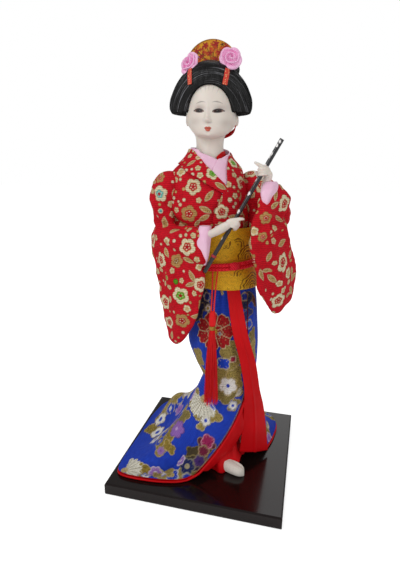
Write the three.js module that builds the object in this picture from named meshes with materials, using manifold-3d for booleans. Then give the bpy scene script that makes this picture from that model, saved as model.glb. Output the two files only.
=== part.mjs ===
// A dressed geisha doll that plays a flute, on a lacquered base.
// Millimetres, +Z up, the doll's front towards -Y, origin at the centre of the base's underside.
import * as THREE from 'three';
import { mergeVertices } from 'three/addons/utils/BufferGeometryUtils.js';
import Module from 'manifold-3d';

const wasm = await Module();
wasm.setup();

// Driving dimensions
const baseSide = 125;
const baseThickness = 9;
const baseBevel = 1;
const seatGap = 0.3;
const wireRadius = 1.1;
const wireBoreDepth = 5.5;
const legWireTop = 96;
const bodyTurn = 32;
const hipTurn = 20;
const headTurn = 8;
const neckRadius = 9.6;
const neckPegRadius = 3;
const neckPegLength = 20;
const neckPegPlay = 0.06;
const neckBottom = 227;
const skirtCloth = 1.1;
const liningCloth = 0.8;
const crepeCloth = 1.2;
const obiThickness = 2;
const obiBottom = 145.5;
const obiTop = 188;
const kneeHeight = 76;
const waistHeight = 150;
const pipingRadius = 0.8;
const kimonoCollarWidth = 9.6;
const pinkCollarWidth = 9;
const innerCollarWidth = 3;
const collarCloth = 0.55;
const obiCordRadius = 1.35;
const obiCordHeight = 163;
const tasselCordDiameter = 1.1;
const tasselHeadRadius = 2.1;
const tasselSkirtLength = 50;
const fluteRadius = 1.35;
const fluteBore = 0.75;
const fluteRingRadius = 1.75;
const fluteRingLength = 1.6;
const gripClearance = 0.25;
const combRadius = 17.6;
const combThickness = 1.6;
const combCentreHeight = 289.2;
const combTangWidth = 9;
const combTangDepth = 2.2;
const combCorner = 14 * Math.PI / 180;
const roseRadius = 6.8;
const roseTurns = 2.6;
const rosePetal = 0.6;
const fingerRadius = 1.45;
const footLength = 30;
const footWidth = 10;

// Vectors, angles and curves
const radians = (degrees) => degrees * Math.PI / 180;
const point = (x, y, z) => new THREE.Vector3(x, y, z);
const mix = (a, b, share) => a + (b - a) * share;
const bump = (value, centre, width) => Math.exp(-(((value - centre) / width) ** 2));

// Reads a row of values at any position from rows whose first entry is the position.
function track(rows) {
  const slope = (index, column) => {
    const before = rows[Math.max(index - 1, 0)];
    const after = rows[Math.min(index + 1, rows.length - 1)];
    return (after[column] - before[column]) / (after[0] - before[0]);
  };
  return (position) => {
    let index = 0;
    while (index < rows.length - 2 && position > rows[index + 1][0]) index += 1;
    const [low, high] = [rows[index], rows[index + 1]];
    const span = high[0] - low[0];
    const s = THREE.MathUtils.clamp((position - low[0]) / span, 0, 1);
    return low.map((value, column) => {
      if (column === 0) return position;
      const rise = slope(index, column) * span;
      const run = slope(index + 1, column) * span;
      return (2 * s ** 3 - 3 * s ** 2 + 1) * value + (s ** 3 - 2 * s ** 2 + s) * rise
        + (-2 * s ** 3 + 3 * s ** 2) * high[column] + (s ** 3 - s ** 2) * run;
    });
  };
}

const curveThrough = (points) => new THREE.CatmullRomCurve3(points, false, 'centripetal');

// Closed geometry from a list of vertices and faces, turned so that its faces point out.
function closedGeometry(vertices, faces) {
  let volume = 0;
  for (const [a, b, c] of faces) {
    volume += vertices[a].dot(vertices[b].clone().cross(vertices[c]));
  }
  const index = faces.flatMap(([a, b, c]) => (volume < 0 ? [a, c, b] : [a, b, c]));
  const geometry = new THREE.BufferGeometry();
  const position = vertices.flatMap((vertex) => vertex.toArray());
  geometry.setAttribute('position', new THREE.Float32BufferAttribute(position, 3));
  geometry.setIndex(index);
  return geometry;
}

function bridge(faces, rowA, rowB, closed = true) {
  const count = rowA.length;
  for (let i = 0; i < (closed ? count : count - 1); i += 1) {
    const j = (i + 1) % count;
    faces.push([rowA[i], rowA[j], rowB[j]], [rowA[i], rowB[j], rowB[i]]);
  }
}

// Solid through closed rings, closed at both ends by a fan about the ring's middle.
function loft(rings) {
  const vertices = [];
  const faces = [];
  const rows = rings.map((ring) => ring.map((vertex) => vertices.push(vertex) - 1));
  for (let i = 0; i < rows.length - 1; i += 1) bridge(faces, rows[i], rows[i + 1]);
  for (const [ring, row, flip] of [[rings[0], rows[0], true], [rings.at(-1), rows.at(-1), false]]) {
    const middle = ring.reduce((sum, vertex) => sum.add(vertex), point(0, 0, 0)).divideScalar(ring.length);
    const hub = vertices.push(middle) - 1;
    for (let i = 0; i < row.length; i += 1) {
      const j = (i + 1) % row.length;
      faces.push(flip ? [hub, row[j], row[i]] : [hub, row[i], row[j]]);
    }
  }
  return closedGeometry(vertices, faces);
}

// Open shell between an outer and an inner set of rings, such as a sash or a tube of cloth.
function sleeveShell(outer, inner) {
  const vertices = [];
  const faces = [];
  const rows = [...outer, ...inner.toReversed()]
    .map((ring) => ring.map((vertex) => vertices.push(vertex) - 1));
  for (let i = 0; i < rows.length; i += 1) bridge(faces, rows[i], rows[(i + 1) % rows.length]);
  return closedGeometry(vertices, faces);
}

// Sheet of cloth of one thickness: rows of points are its outer face, the inner lies behind it.
function clothSheet(rows, thickness) {
  const at = (i, j) => rows[THREE.MathUtils.clamp(i, 0, rows.length - 1)][
    THREE.MathUtils.clamp(j, 0, rows[0].length - 1)];
  const vertices = [];
  const faces = [];
  const front = rows.map((row) => row.map((vertex) => vertices.push(vertex) - 1));
  const back = rows.map((row, i) => row.map((vertex, j) => {
    const along = at(i, j + 1).clone().sub(at(i, j - 1));
    const down = at(i + 1, j).clone().sub(at(i - 1, j));
    return vertices.push(vertex.clone().addScaledVector(along.cross(down).normalize(), -thickness)) - 1;
  }));
  for (let i = 0; i < rows.length - 1; i += 1) {
    bridge(faces, front[i], front[i + 1], false);
    bridge(faces, back[i + 1], back[i], false);
  }
  const edges = (grid) => [grid[0], grid.map((row) => row.at(-1)), grid.at(-1).toReversed(),
    grid.map((row) => row[0]).toReversed()];
  edges(front).forEach((edge, k) => bridge(faces, edges(back)[k], edge, false));
  return closedGeometry(vertices, faces);
}

// Rod along a curve whose radius is read from a list, with rounded ends.
function limb(points, radii, steps = 12, sides = 10, flatten = 1) {
  const curve = curveThrough(points);
  const radiusAt = track(radii.map((radius, i) => [i / (radii.length - 1), radius]));
  const frames = curve.computeFrenetFrames(steps);
  const rings = [];
  const addRing = (place, share, scale, push) => rings.push(Array.from({ length: sides }, (_, i) => {
    const angle = 2 * Math.PI * i / sides;
    const radius = radiusAt(share)[1] * scale;
    return curve.getPointAt(share)
      .addScaledVector(frames.tangents[place], push * radiusAt(share)[1])
      .addScaledVector(frames.normals[place], radius * Math.cos(angle))
      .addScaledVector(frames.binormals[place], radius * flatten * Math.sin(angle));
  }));
  addRing(0, 0, 0.62, -0.75);
  for (let k = 0; k <= steps; k += 1) addRing(k, k / steps, 1, 0);
  addRing(steps, 1, 0.62, 0.75);
  return loft(rings);
}

// Plain tube along a curve, for wires and cords.
function cordTube(curve, radius, steps, sides = 8) {
  const section = new THREE.Shape();
  for (let i = 0; i < sides; i += 1) {
    const angle = 2 * Math.PI * i / sides;
    const move = i === 0 ? 'moveTo' : 'lineTo';
    section[move](radius * Math.cos(angle), radius * Math.sin(angle));
  }
  section.closePath();
  return new THREE.ExtrudeGeometry(section, { steps, bevelEnabled: false, extrudePath: curve });
}

// Solids that are joined or cut
function toSolid(geometry) {
  const bare = new THREE.BufferGeometry();
  bare.setAttribute('position', geometry.getAttribute('position').clone());
  if (geometry.index) bare.setIndex(geometry.index.clone());
  const merged = mergeVertices(bare, 1e-4);
  return new wasm.Manifold(new wasm.Mesh({
    numProp: 3,
    vertProperties: new Float32Array(merged.getAttribute('position').array),
    triVerts: new Uint32Array(merged.index.array),
  }));
}

// Back to a geometry. Crumbs that a cut leaves beside the piece are dropped.
function toGeometry(solid) {
  const { vertProperties, triVerts, numProp } = solid.getMesh();
  const group = Array.from({ length: vertProperties.length / numProp }, (_, i) => i);
  const root = (i) => {
    let node = i;
    while (group[node] !== node) node = group[node];
    group[i] = node;
    return node;
  };
  for (let t = 0; t < triVerts.length; t += 3) {
    group[root(triVerts[t + 1])] = root(triVerts[t]);
    group[root(triVerts[t + 2])] = root(triVerts[t]);
  }
  const size = new Map();
  triVerts.forEach((vertex) => size.set(root(vertex), (size.get(root(vertex)) ?? 0) + 1));
  const [main] = [...size.entries()].sort((a, b) => b[1] - a[1])[0];
  const kept = [];
  for (let t = 0; t < triVerts.length; t += 3) {
    if (root(triVerts[t]) === main) kept.push(triVerts[t], triVerts[t + 1], triVerts[t + 2]);
  }
  const geometry = new THREE.BufferGeometry();
  geometry.setAttribute('position', new THREE.BufferAttribute(new Float32Array(vertProperties), 3));
  geometry.setIndex(kept);
  return geometry;
}

const cut = (geometry, ...tools) => toGeometry(
  tools.reduce((solid, tool) => solid.subtract(toSolid(tool)), toSolid(geometry)));
const fuse = (geometry, ...others) => toGeometry(
  others.reduce((solid, other) => solid.add(toSolid(other)), toSolid(geometry)));
const overlap = (geometry, other) => toGeometry(toSolid(geometry).intersect(toSolid(other)));

// The doll as one group of named pieces
const doll = new THREE.Group();

function piece(name, geometry, colour, roughness = 0.8, metalness = 0) {
  const material = new THREE.MeshStandardMaterial({ color: colour, roughness, metalness });
  const mesh = new THREE.Mesh(geometry, material);
  mesh.name = name;
  doll.add(mesh);
  return mesh;
}

// Upright forms: each row is height, centre x and y, then reach to the left, right, front and back.
// Angle 0 faces the turned front, positive angles go to the viewer's right.
function ovalPoint(row, angle, turn, grow = 0) {
  const [z, x, y, left, right, front, back] = row;
  const across = Math.sin(angle) * ((Math.sin(angle) < 0 ? left : right) + grow);
  const ahead = Math.cos(angle) * ((Math.cos(angle) < 0 ? back : front) + grow);
  const [c, s] = [Math.cos(radians(turn)), Math.sin(radians(turn))];
  return point(x + across * c + ahead * s, y + across * s - ahead * c, z);
}

// A ring's points can crowd towards the front, where the shape is finer.
function column(rows, heights, { turn = 0, sides = 32, grow = 0, crowd = 0, shape = () => 0 } = {}) {
  const at = track(rows);
  return heights.map((z) => Array.from({ length: sides }, (_, i) => {
    const even = 2 * Math.PI * i / sides;
    const angle = even - crowd * Math.sin(even);
    return ovalPoint(at(z), angle, turn, grow + shape(angle, z));
  }));
}

const heightsBetween = (low, high, count) => (
  Array.from({ length: count }, (_, i) => mix(low, high, i / (count - 1))));

// Base board with blind bores for the leg wires
const rightHeel = point(6.4, -20.4, baseThickness);
const leftHeel = point(2, 6, baseThickness);

function bar(low, high, radius, sides = 12) {
  return cordTube(new THREE.LineCurve3(low, high), radius, 1, sides);
}

function wirePath(heel) {
  return [
    point(heel.x, heel.y, baseThickness - wireBoreDepth + seatGap),
    point(heel.x, heel.y, baseThickness + 9),
    point(mix(heel.x, 12, 0.35), mix(heel.y, 0, 0.3), 45),
    point(mix(heel.x, 12, 0.6), mix(heel.y, 0, 0.5), legWireTop),
  ];
}

function baseBoard() {
  const half = baseSide / 2 - baseBevel;
  const outline = new THREE.Shape([
    new THREE.Vector2(-half, -half), new THREE.Vector2(half, -half),
    new THREE.Vector2(half, half), new THREE.Vector2(-half, half)]);
  const board = new THREE.ExtrudeGeometry(outline, {
    depth: baseThickness - 2 * baseBevel,
    bevelThickness: baseBevel,
    bevelSize: baseBevel,
    bevelSegments: 2,
    steps: 1,
  });
  board.translate(0, 0, baseBevel);
  const bores = [rightHeel, leftHeel].map((heel) => bar(
    point(heel.x, heel.y, baseThickness - wireBoreDepth),
    point(heel.x, heel.y, baseThickness + 1), wireRadius + seatGap));
  return cut(board, ...bores);
}

piece('base_board', baseBoard(), '#15100f', 0.12);

const legWire = (heel, radius) => cordTube(curveThrough(wirePath(heel)), radius, 8, 8);
piece('right_leg_wire', legWire(rightHeel, wireRadius), '#8a8c8e', 0.4, 1);
piece('left_leg_wire', legWire(leftHeel, wireRadius), '#8a8c8e', 0.4, 1);

// Feet in white split-toe socks, on the board
function foot(heel, yaw, grow = 0) {
  const rows = [
    [0, 3.2, 0.34, 8.4], [0.12, 4.4, 0.4, 9.6], [0.35, 4.3, 0.42, 9.2], [0.6, 4.8, 0.48, 8.2],
    [0.8, 5, 0.52, 7.2], [0.93, 4.2, 0.5, 6.2], [1, 2.4, 0.5, 4.6],
  ];
  const at = track(rows);
  const rings = Array.from({ length: 8 }, (_, k) => {
    const share = k / 7;
    const [, halfWidth, , height] = at(share);
    return Array.from({ length: 10 }, (_, i) => {
      const angle = 2 * Math.PI * i / 10;
      const across = Math.sign(Math.cos(angle)) * Math.abs(Math.cos(angle)) ** 0.75
        * (halfWidth * footWidth / 10 + grow);
      const rise = Math.max(0, 0.5 + 0.62 * Math.sin(angle)) / 1.12 * (height + grow);
      const along = (share - 0.13) * footLength + (2 * share - 1) * grow;
      return point(
        heel.x + along * Math.cos(yaw) - across * Math.sin(yaw),
        heel.y + along * Math.sin(yaw) + across * Math.cos(yaw),
        baseThickness + (grow > 0 ? -1 : seatGap) + rise + (grow > 0 ? 1 : 0));
    });
  });
  if (grow > 0) return loft(rings);
  const toeSlot = new THREE.BoxGeometry(7, 0.7, 12);
  toeSlot.rotateZ(yaw);
  toeSlot.translate(
    heel.x + 0.86 * footLength * Math.cos(yaw) - 1.3 * Math.sin(yaw),
    heel.y + 0.86 * footLength * Math.sin(yaw) + 1.3 * Math.cos(yaw),
    baseThickness + 8);
  const bore = legWire(heel, wireRadius + seatGap);
  return cut(loft(rings), toeSlot, bore);
}

const rightFootYaw = radians(-17);
const leftFootYaw = radians(4);
piece('right_foot', foot(rightHeel, rightFootYaw), '#d9d2c6', 0.85);
piece('left_foot', foot(leftHeel, leftFootYaw), '#d9d2c6', 0.85);

// Hips and torso: the outside of the skirt's upper part and of the bodice
const hipRows = [
  [68, 14.8, -1, 17.4, 18.6, 18, 17.2],
  [kneeHeight, 14.4, -1, 17.6, 19.4, 18.6, 17.6],
  [90, 11.6, -0.5, 21.6, 22.8, 20.6, 20.4],
  [106, 8.6, 0, 25.6, 25.8, 22.3, 22.8],
  [125, 9.4, 0, 23.6, 23.8, 20, 21],
  [142, 10.8, 0, 20.4, 20.6, 16.8, 17],
  [waistHeight + 6, 10.2, 0, 19.4, 19.6, 16, 16.2],
];
const chestRows = [
  [obiBottom, 10.9, 0, 19.6, 19.8, 16.4, 16.4],
  [166, 9, 0, 19.4, 19.2, 16.4, 16],
  [182, 7.2, 0, 20.4, 18.8, 16.8, 15.8],
  [obiTop, 6.2, 0, 27.6, 18.8, 17.2, 15.8],
  [196, 4.6, 0, 33, 20.2, 18.6, 16.6],
  [208, 1.5, 0.3, 32, 21.6, 19.8, 17],
  [217, -1.6, 0.6, 29, 22.8, 19.4, 16.8],
  [223, -3.4, 1, 26.6, 22.6, 17.8, 15.8],
  [228, -4, 1.4, 21.6, 18.6, 16, 15],
  [232, -4, 2, 16.6, 14.2, 14.2, 14.2],
  [235.4, -4, 2.2, 13.8, 12.4, 12.8, 13.2],
  [240, -4, 2.4, 12.2, 11.6, 11.4, 13],
];

const sashRows = [...chestRows.slice(0, 3), [obiTop, 6.4, 0, 21.4, 18.8, 17.2, 15.8]];
const coreRows = [...sashRows, ...chestRows.slice(4)];

const paddingBelow = skirtCloth + liningCloth + 3 * seatGap;
const bothLegBores = () => [rightHeel, leftHeel].map((heel) => legWire(heel, wireRadius + seatGap));
piece('hip_padding', cut(loft(column(
  hipRows, [86, 96, 108, 126, obiBottom - seatGap],
  { turn: hipTurn, sides: 18, grow: -paddingBelow - liningCloth })), ...bothLegBores()), '#d8cbb4', 0.95);

const neckAxis = point(-3.8, 1, 0);
const pegBottom = neckBottom - neckPegLength;
const pegBore = () => bar(point(neckAxis.x, neckAxis.y, pegBottom - seatGap),
  point(neckAxis.x, neckAxis.y, neckBottom + 10), neckPegRadius + neckPegPlay, 20);

// Arm wires run from the shoulders to the wrists.
const rightShoulder = point(-20, -8, 217);
const rightElbow = point(-34, -15.5, 188);
const rightWrist = point(2.5, -33.2, 189.4);
const leftShoulder = point(14, 11, 218);
const leftElbow = point(46, 2, 193);
const leftWrist = point(39.6, -24.5, 214.6);
const rightArm = (radius) => cordTube(curveThrough([
  point(-12, -4.6, 214), rightShoulder, point(-31, -13, 211), point(-34.6, -14.6, 199), rightElbow,
  point(-28, -19, 184.5), point(-12, -26.8, 185.6), rightWrist]), radius, 12, 6);
const leftArm = (radius) => cordTube(curveThrough([
  point(6, 8, 215), leftShoulder, point(28, 11.5, 213.5), point(39, 8, 203.5), leftElbow,
  point(46.6, -5, 197), point(43.4, -16, 206.4), leftWrist]), radius, 12, 6);
const armGap = wireRadius + seatGap;
piece('right_arm_wire', rightArm(wireRadius), '#8a8c8e', 0.4, 1);
piece('left_arm_wire', leftArm(wireRadius), '#8a8c8e', 0.4, 1);

piece('torso_core', cut(loft(column(
  coreRows, [obiBottom + seatGap, 166, 186, 198, 212, 220, neckBottom - seatGap],
  { turn: bodyTurn, sides: 18, grow: -crepeCloth - 4 * seatGap })),
pegBore(), rightArm(armGap), leftArm(armGap)), '#d8cbb4', 0.95);

// Head and neck, moulded in one
const headRows = [
  [244.4, -1.2, -9.6, 3.4, 3.4, 4.6, 5],
  [246.6, -1.9, -8, 8.2, 8.8, 9.4, 9.5],
  [250.5, -2.4, -4.4, 12.6, 13.6, 14, 12.6],
  [256, -2.8, -1.2, 15.8, 16.2, 16.8, 15],
  [262, -3, 0, 16, 16, 17.8, 16],
  [270, -3, 0.2, 15.4, 15.4, 17.2, 16.4],
  [278, -3, 0.6, 13.2, 13.2, 14.8, 15],
  [284, -3, 1, 9.2, 9.2, 10, 11],
  [287.6, -3, 1.2, 2.6, 2.6, 3, 3],
];
const noseHeight = 255.2;
const mouthHeight = 249.6;
const eyeHeight = 260;
const eyeSpread = 21 * Math.PI / 180;
const faceTurn = radians(4);

// Relief of the face over the plain head, by height and by angle from the face's middle.
function faceRelief(angle, z) {
  const side = Math.atan2(Math.sin(angle + faceTurn), Math.cos(angle + faceTurn));
  const nose = 2.9 * bump(z, noseHeight, 2) * bump(side, 0, 0.11);
  const bridgeOfNose = 1.1 * bump(z, eyeHeight - 0.5, 4) * bump(side, 0, 0.09);
  const lips = 0.9 * bump(z, mouthHeight, 1.6) * bump(side, 0, 0.14);
  const chin = 0.8 * bump(z, mouthHeight - 4, 1.8) * bump(side, 0, 0.3);
  const sockets = -0.8 * bump(z, eyeHeight, 2.2) * (bump(side, eyeSpread, 0.2) + bump(side, -eyeSpread, 0.2));
  return nose + bridgeOfNose + lips + chin + sockets;
}

function ear(side) {
  const lobe = new THREE.SphereGeometry(1, 10, 8);
  lobe.scale(1.1, 2.2, 3.4);
  lobe.rotateZ(radians(headTurn + side * 18));
  const place = ovalPoint([256.4, -3, 0.6, 15.7, 15.7, 17, 16], side * radians(97), headTurn, 0.1);
  lobe.translate(place.x, place.y, place.z);
  return lobe;
}

const headHeights = [244.4, 245.6, 247.4, 249.2, 251, 253, 254.6, 256, 258, 260, 262.4,
  267, 273, 279, 284, 287.6];
const headForm = () => loft(column(headRows, headHeights, {
  turn: headTurn, sides: 26, crowd: 0.55, shape: faceRelief }));
function headSpace() {
  const rings = column(headRows, [244.4, 247.4, 251, 254.6, 258, 262.4, 267, 273, 279, 284, 287.6],
    { turn: headTurn, sides: 24, grow: 2 * seatGap });
  rings.at(-1).forEach((vertex) => vertex.setZ(vertex.z + 2 * seatGap));
  return [loft(rings), neckColumn(seatGap)];
}
const neckProfile = (grow) => [
  [0, neckBottom], [neckRadius + 0.7 + grow, neckBottom], [neckRadius + grow, neckBottom + 8],
  [neckRadius - 0.5 + grow, neckBottom + 14], [neckRadius + grow, neckBottom + 19],
  [neckRadius + 1.6 + grow, neckBottom + 24], [0, neckBottom + 26],
].map(([x, y]) => new THREE.Vector2(x, y));

function neckColumn(grow) {
  const neck = new THREE.LatheGeometry(neckProfile(grow), 24);
  neck.rotateX(Math.PI / 2);
  neck.translate(neckAxis.x, neckAxis.y, 0);
  return neck;
}

const pegSocket = bar(point(neckAxis.x, neckAxis.y, neckBottom - 1),
  point(neckAxis.x, neckAxis.y, neckBottom + 8), neckPegRadius + seatGap, 20);
piece('head', cut(fuse(headForm(), neckColumn(0), ear(-1), ear(1)), pegSocket), '#ded5cb', 0.45);
piece('neck_peg', bar(point(neckAxis.x, neckAxis.y, pegBottom),
  point(neckAxis.x, neckAxis.y, neckBottom + 8 - seatGap), neckPegRadius, 20), '#b08a58', 0.7);

const hairBottom = 261.2;

// Hair: one swept-up form, cut by the face's arch and parted into its rolls
const hairRows = [
  [hairBottom, -3.8, 2, 25.6, 25.6, 13.4, 20],
  [264, -3.8, 2, 26.8, 26.4, 14.6, 23],
  [269, -3.8, 2, 26.4, 26.2, 16.6, 24.4],
  [274, -3.8, 2, 24.4, 24.4, 18, 24.4],
  [279, -3.8, 2, 21.8, 21.8, 18.6, 23.6],
  [284, -3.8, 1.8, 17.8, 17.8, 18, 21],
  [288.5, -3.8, 1.6, 12.8, 12.8, 14.6, 16],
  [291.4, -3.8, 1.5, 6.8, 6.8, 8.6, 9],
  [292.6, -3.8, 1.5, 1.6, 1.6, 2, 2],
];
const hairlineTop = 276.4;
const hairlineSpring = 261.5;
const hairlineHalf = 14.2;
const hairAxis = point(-3.8, 2, 0);

// Turns a geometry drawn in the head's own directions to the head's place.
function atHead(geometry) {
  geometry.rotateZ(radians(headTurn));
  geometry.translate(hairAxis.x, hairAxis.y, 0);
  return geometry;
}

function faceArch() {
  const outline = new THREE.Shape();
  outline.moveTo(-hairlineHalf - 0.6, 240);
  outline.lineTo(-hairlineHalf, hairlineSpring);
  outline.absellipse(0, hairlineSpring, hairlineHalf, hairlineTop - hairlineSpring, Math.PI, 0, true);
  outline.lineTo(hairlineHalf + 0.6, 240);
  outline.closePath();
  const arch = new THREE.ExtrudeGeometry(outline, { depth: 36, bevelEnabled: false, curveSegments: 12 });
  arch.rotateX(Math.PI / 2);
  arch.translate(0, -1, 0);
  return atHead(arch);
}

const region = (x0, x1, y0, y1, z0, z1) => {
  const block = new THREE.BoxGeometry(x1 - x0, y1 - y0, z1 - z0);
  block.translate((x0 + x1) / 2, (y0 + y1) / 2, (z0 + z1) / 2);
  return atHead(block);
};

const hairColumn = (grow) => loft(column(
  hairRows, [hairBottom, 262.6, 265, 269, 274, 279, 284, 287, 289.6, 291.4, 292.6],
  { turn: headTurn, sides: 24, grow }));

const napeRows = [
  [250.6, -3.4, 16, 4.5, 4.5, 3, 3.6],
  [252.4, -3.5, 16.2, 8.6, 8.6, 3.4, 5.4],
  [255, -3.6, 16, 11.6, 11.6, 4, 7],
  [260, -3.8, 15.4, 14.6, 14.6, 4, 8],
  [266, -3.8, 15, 16, 16, 4, 9],
];

function combOutline(grow) {
  const outline = new THREE.Shape();
  const radius = combRadius + grow;
  const corner = point(radius * Math.cos(combCorner), radius * Math.sin(combCorner) - grow, 0);
  outline.moveTo(-combTangWidth / 2 - grow, -combTangDepth - grow);
  outline.lineTo(-combTangWidth / 2 - grow, -grow);
  outline.quadraticCurveTo(-corner.x * 0.8, -grow, -corner.x, corner.y);
  outline.absarc(0, 0, radius, Math.PI - combCorner, combCorner, true);
  outline.quadraticCurveTo(corner.x * 0.8, -grow, combTangWidth / 2 + grow, -grow);
  outline.lineTo(combTangWidth / 2 + grow, -combTangDepth - grow);
  outline.closePath();
  return outline;
}

const combSetBack = 5.6;
function comb(grow = 0) {
  const board = new THREE.ExtrudeGeometry(combOutline(grow), {
    depth: combThickness + 2 * grow, bevelEnabled: false, curveSegments: 14 });
  board.rotateX(Math.PI / 2);
  board.translate(0, combSetBack + combThickness / 2 + grow, combCentreHeight);
  return atHead(board);
}

const topknotRows = [
  [283, -3.6, 14.5, 10, 10, 7, 9],
  [286, -3.6, 14.5, 14.4, 14.4, 7.6, 11],
  [289.6, -3.6, 14.5, 15.8, 15.8, 7.8, 12],
  [293.5, -3.6, 14.6, 14.4, 14.4, 7.4, 11],
  [297, -3.6, 14.8, 9.5, 9.5, 5.4, 8],
  [298.6, -3.6, 15, 3, 3, 2.4, 3],
];

const wholeHair = cut(hairColumn(0), ...headSpace(), faceArch(), ear(-1), ear(1), comb(seatGap));
const sideLine = 15.6;
const backLine = 8.5;
piece('front_hair', overlap(wholeHair, region(-sideLine, sideLine, -40, backLine, 240, 300)), '#121113', 0.5);
piece('right_hair', overlap(wholeHair, region(-40, -sideLine - seatGap, -40, backLine, 240, 300)), '#121113', 0.5);
piece('left_hair', overlap(wholeHair, region(sideLine + seatGap, 40, -40, backLine, 240, 300)), '#121113', 0.5);
const nape = () => loft(column(napeRows, [250.6, 251.4, 253, 256, 260, 266],
  { turn: headTurn, sides: 20 }));
piece('back_hair', cut(fuse(overlap(wholeHair, region(-40, 40, backLine + seatGap, 60, 240, 300)),
  cut(nape(), ...headSpace())), region(-40, 40, -40, backLine + seatGap, 240, 300)), '#121113', 0.5);
piece('topknot', cut(loft(column(topknotRows, [283, 286, 289.6, 293, 296.4, 298.6],
  { turn: headTurn, sides: 20 })), hairColumn(seatGap), comb(seatGap)), '#121113', 0.5);
piece('comb', comb(), '#c9820f', 0.35);

// A strip that lies on an upright form: rows of place, lower and upper angle and height, and lift.
function stripOn(rows, turn, stations, count, across, thickness) {
  const form = track(rows);
  const strip = track(stations);
  return clothSheet(Array.from({ length: count }, (_, i) => {
    const [, lowAngle, lowZ, highAngle, highZ, lift] = strip(mix(stations[0][0], stations.at(-1)[0], i / (count - 1)));
    return Array.from({ length: across + 1 }, (_, j) => {
      const share = j / across;
      const z = mix(lowZ, highZ, share);
      return ovalPoint(form(z), radians(mix(lowAngle, highAngle, share)), turn, lift + thickness);
    });
  }), thickness);
}

const hairRibbonLift = 0.75;
piece('right_hair_ribbon', stripOn(hairRows, headTurn, [
  [0, -53, 285.1, -44, 285.6, hairRibbonLift],
  [1, -45.6, 282, -36.8, 282.6, hairRibbonLift],
  [2, -38.4, 278.2, -31, 278.8, hairRibbonLift],
  [3, -35, 275.4, -28.6, 275.9, hairRibbonLift]], 6, 2, 0.5), '#d8432b', 0.5);
piece('left_hair_ribbon', stripOn(hairRows, headTurn, [
  [0, 34, 285.6, 43, 285, hairRibbonLift],
  [1, 28, 282.8, 36.6, 282.1, hairRibbonLift],
  [2, 22, 278.7, 29.6, 278.1, hairRibbonLift],
  [3, 19.6, 275.9, 26.6, 275.3, hairRibbonLift]], 6, 2, 0.5), '#d8432b', 0.5);

const napeRibbonWidth = 2.6;
piece('nape_ribbon', clothSheet(Array.from({ length: 13 }, (_, i) => {
  const angle = mix(-86, 86, i / 12);
  const sag = Math.cos(radians(angle)) ** 1.4;
  return [0, 1].map((j) => {
    const z = mix(259.6, 254.6, sag) - j * napeRibbonWidth * mix(0.5, 1, sag);
    const reach = mix(16, 17.5, sag) - j * 0.8;
    const around = radians(angle);
    return point(-3.4 + reach * Math.sin(around), 7.6 + reach * 0.98 * Math.cos(around), z);
  });
}), 0.6), '#8a1020', 0.6);

// Ribbon roses: a spiral of folded satin on a small calyx with a pin into the hair
function rose(centre, axis, spin) {
  const steps = 19;
  const rows = [0, 1, 2].map((k) => Array.from({ length: steps + 1 }, (_, i) => {
    const share = i / steps;
    const angle = spin + share * roseTurns * 2 * Math.PI;
    const radius = mix(1.1, roseRadius - 0.5, share) * (1 + 0.05 * Math.cos(angle * 2.5)) + 0.55 * k * share;
    const height = [0, 2.4, mix(4.6, 3.2, share)][k] + 0.3 * Math.sin(angle * 3) * (k / 2);
    return point(radius * Math.cos(angle), radius * Math.sin(angle), height);
  }));
  const spiral = clothSheet(rows, rosePetal);
  const calyx = new THREE.CylinderGeometry(roseRadius - 0.8, roseRadius - 2.6, 1.2, 10);
  calyx.rotateX(Math.PI / 2);
  calyx.translate(0, 0, -0.2);
  const flower = fuse(spiral, calyx);
  const toAxis = new THREE.Quaternion().setFromUnitVectors(point(0, 0, 1), axis.clone().normalize());
  flower.applyQuaternion(toAxis);
  flower.translate(centre.x, centre.y, centre.z);
  return flower;
}

const roseKeepOut = () => [hairColumn(seatGap), comb(seatGap)];
piece('right_rose', cut(rose(point(-14.8, -7, 289), point(-0.5, -0.82, 0.36), 0.4), ...roseKeepOut()),
  '#ee93cb', 0.55);
piece('left_rose', cut(rose(point(9.6, -4.6, 291.4), point(0.3, -0.92, 0.28), 2.2), ...roseKeepOut()),
  '#ee93cb', 0.55);

// Skirt with its train: columns from the waist to the hem, u runs from the front opening round the back
const skirtTop = obiBottom - seatGap;
const hemHeight = baseThickness + 2 * seatGap + 2 * pipingRadius + skirtCloth;
const hemRows = [
  [0, -3, -43], [0.08, -13.5, -49], [0.17, -33, -52.5], [0.245, -55, -51.5], [0.285, -59, -43],
  [0.38, -58.6, -8], [0.47, -57.6, 28], [0.54, -50, 52], [0.62, -20, 58], [0.7, 12, 58],
  [0.77, 40, 55], [0.82, 49.5, 42], [0.9, 49, 22], [1, 45.6, 7],
];
const openingAngle = 34;
const steepness = track([[0, 1.05], [0.06, 1.3], [0.12, 1.9], [0.2, 2.3], [0.3, 2.1], [0.42, 2.3],
  [0.5, 2.2], [0.66, 2.1], [0.8, 2.1], [0.92, 1.8], [1, 1.3]]);

function trainFold(u, share) {
  const reach = Math.sin(Math.PI * Math.min(1, share * 1.05)) ** 1.2;
  const valley = -6.5 * bump(u, 0.185, 0.035) + 3.4 * bump(u, 0.245, 0.04) + 2.4 * bump(u, 0.11, 0.035);
  const back = 9 * bump(u, 0.5, 0.045) - 3.2 * bump(u, 0.4, 0.04) + 2.6 * Math.cos(u * 46) * bump(u, 0.72, 0.16);
  return (valley + back) * reach;
}

const hipForm = track(hipRows);
const hemLine = track(hemRows);
function skirtPoint(u, share, inset) {
  const angle = radians(openingAngle - 358 * u);
  const knee = ovalPoint(hipForm(kneeHeight), angle, hipTurn, -inset);
  const [, x, y] = hemLine(u);
  const drop = 1 - (1 - share) ** steepness(u)[1];
  const lift = trainFold(u, share);
  return point(mix(knee.x, x, share), mix(knee.y, y, share), mix(kneeHeight, hemHeight, drop) + lift);
}

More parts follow.
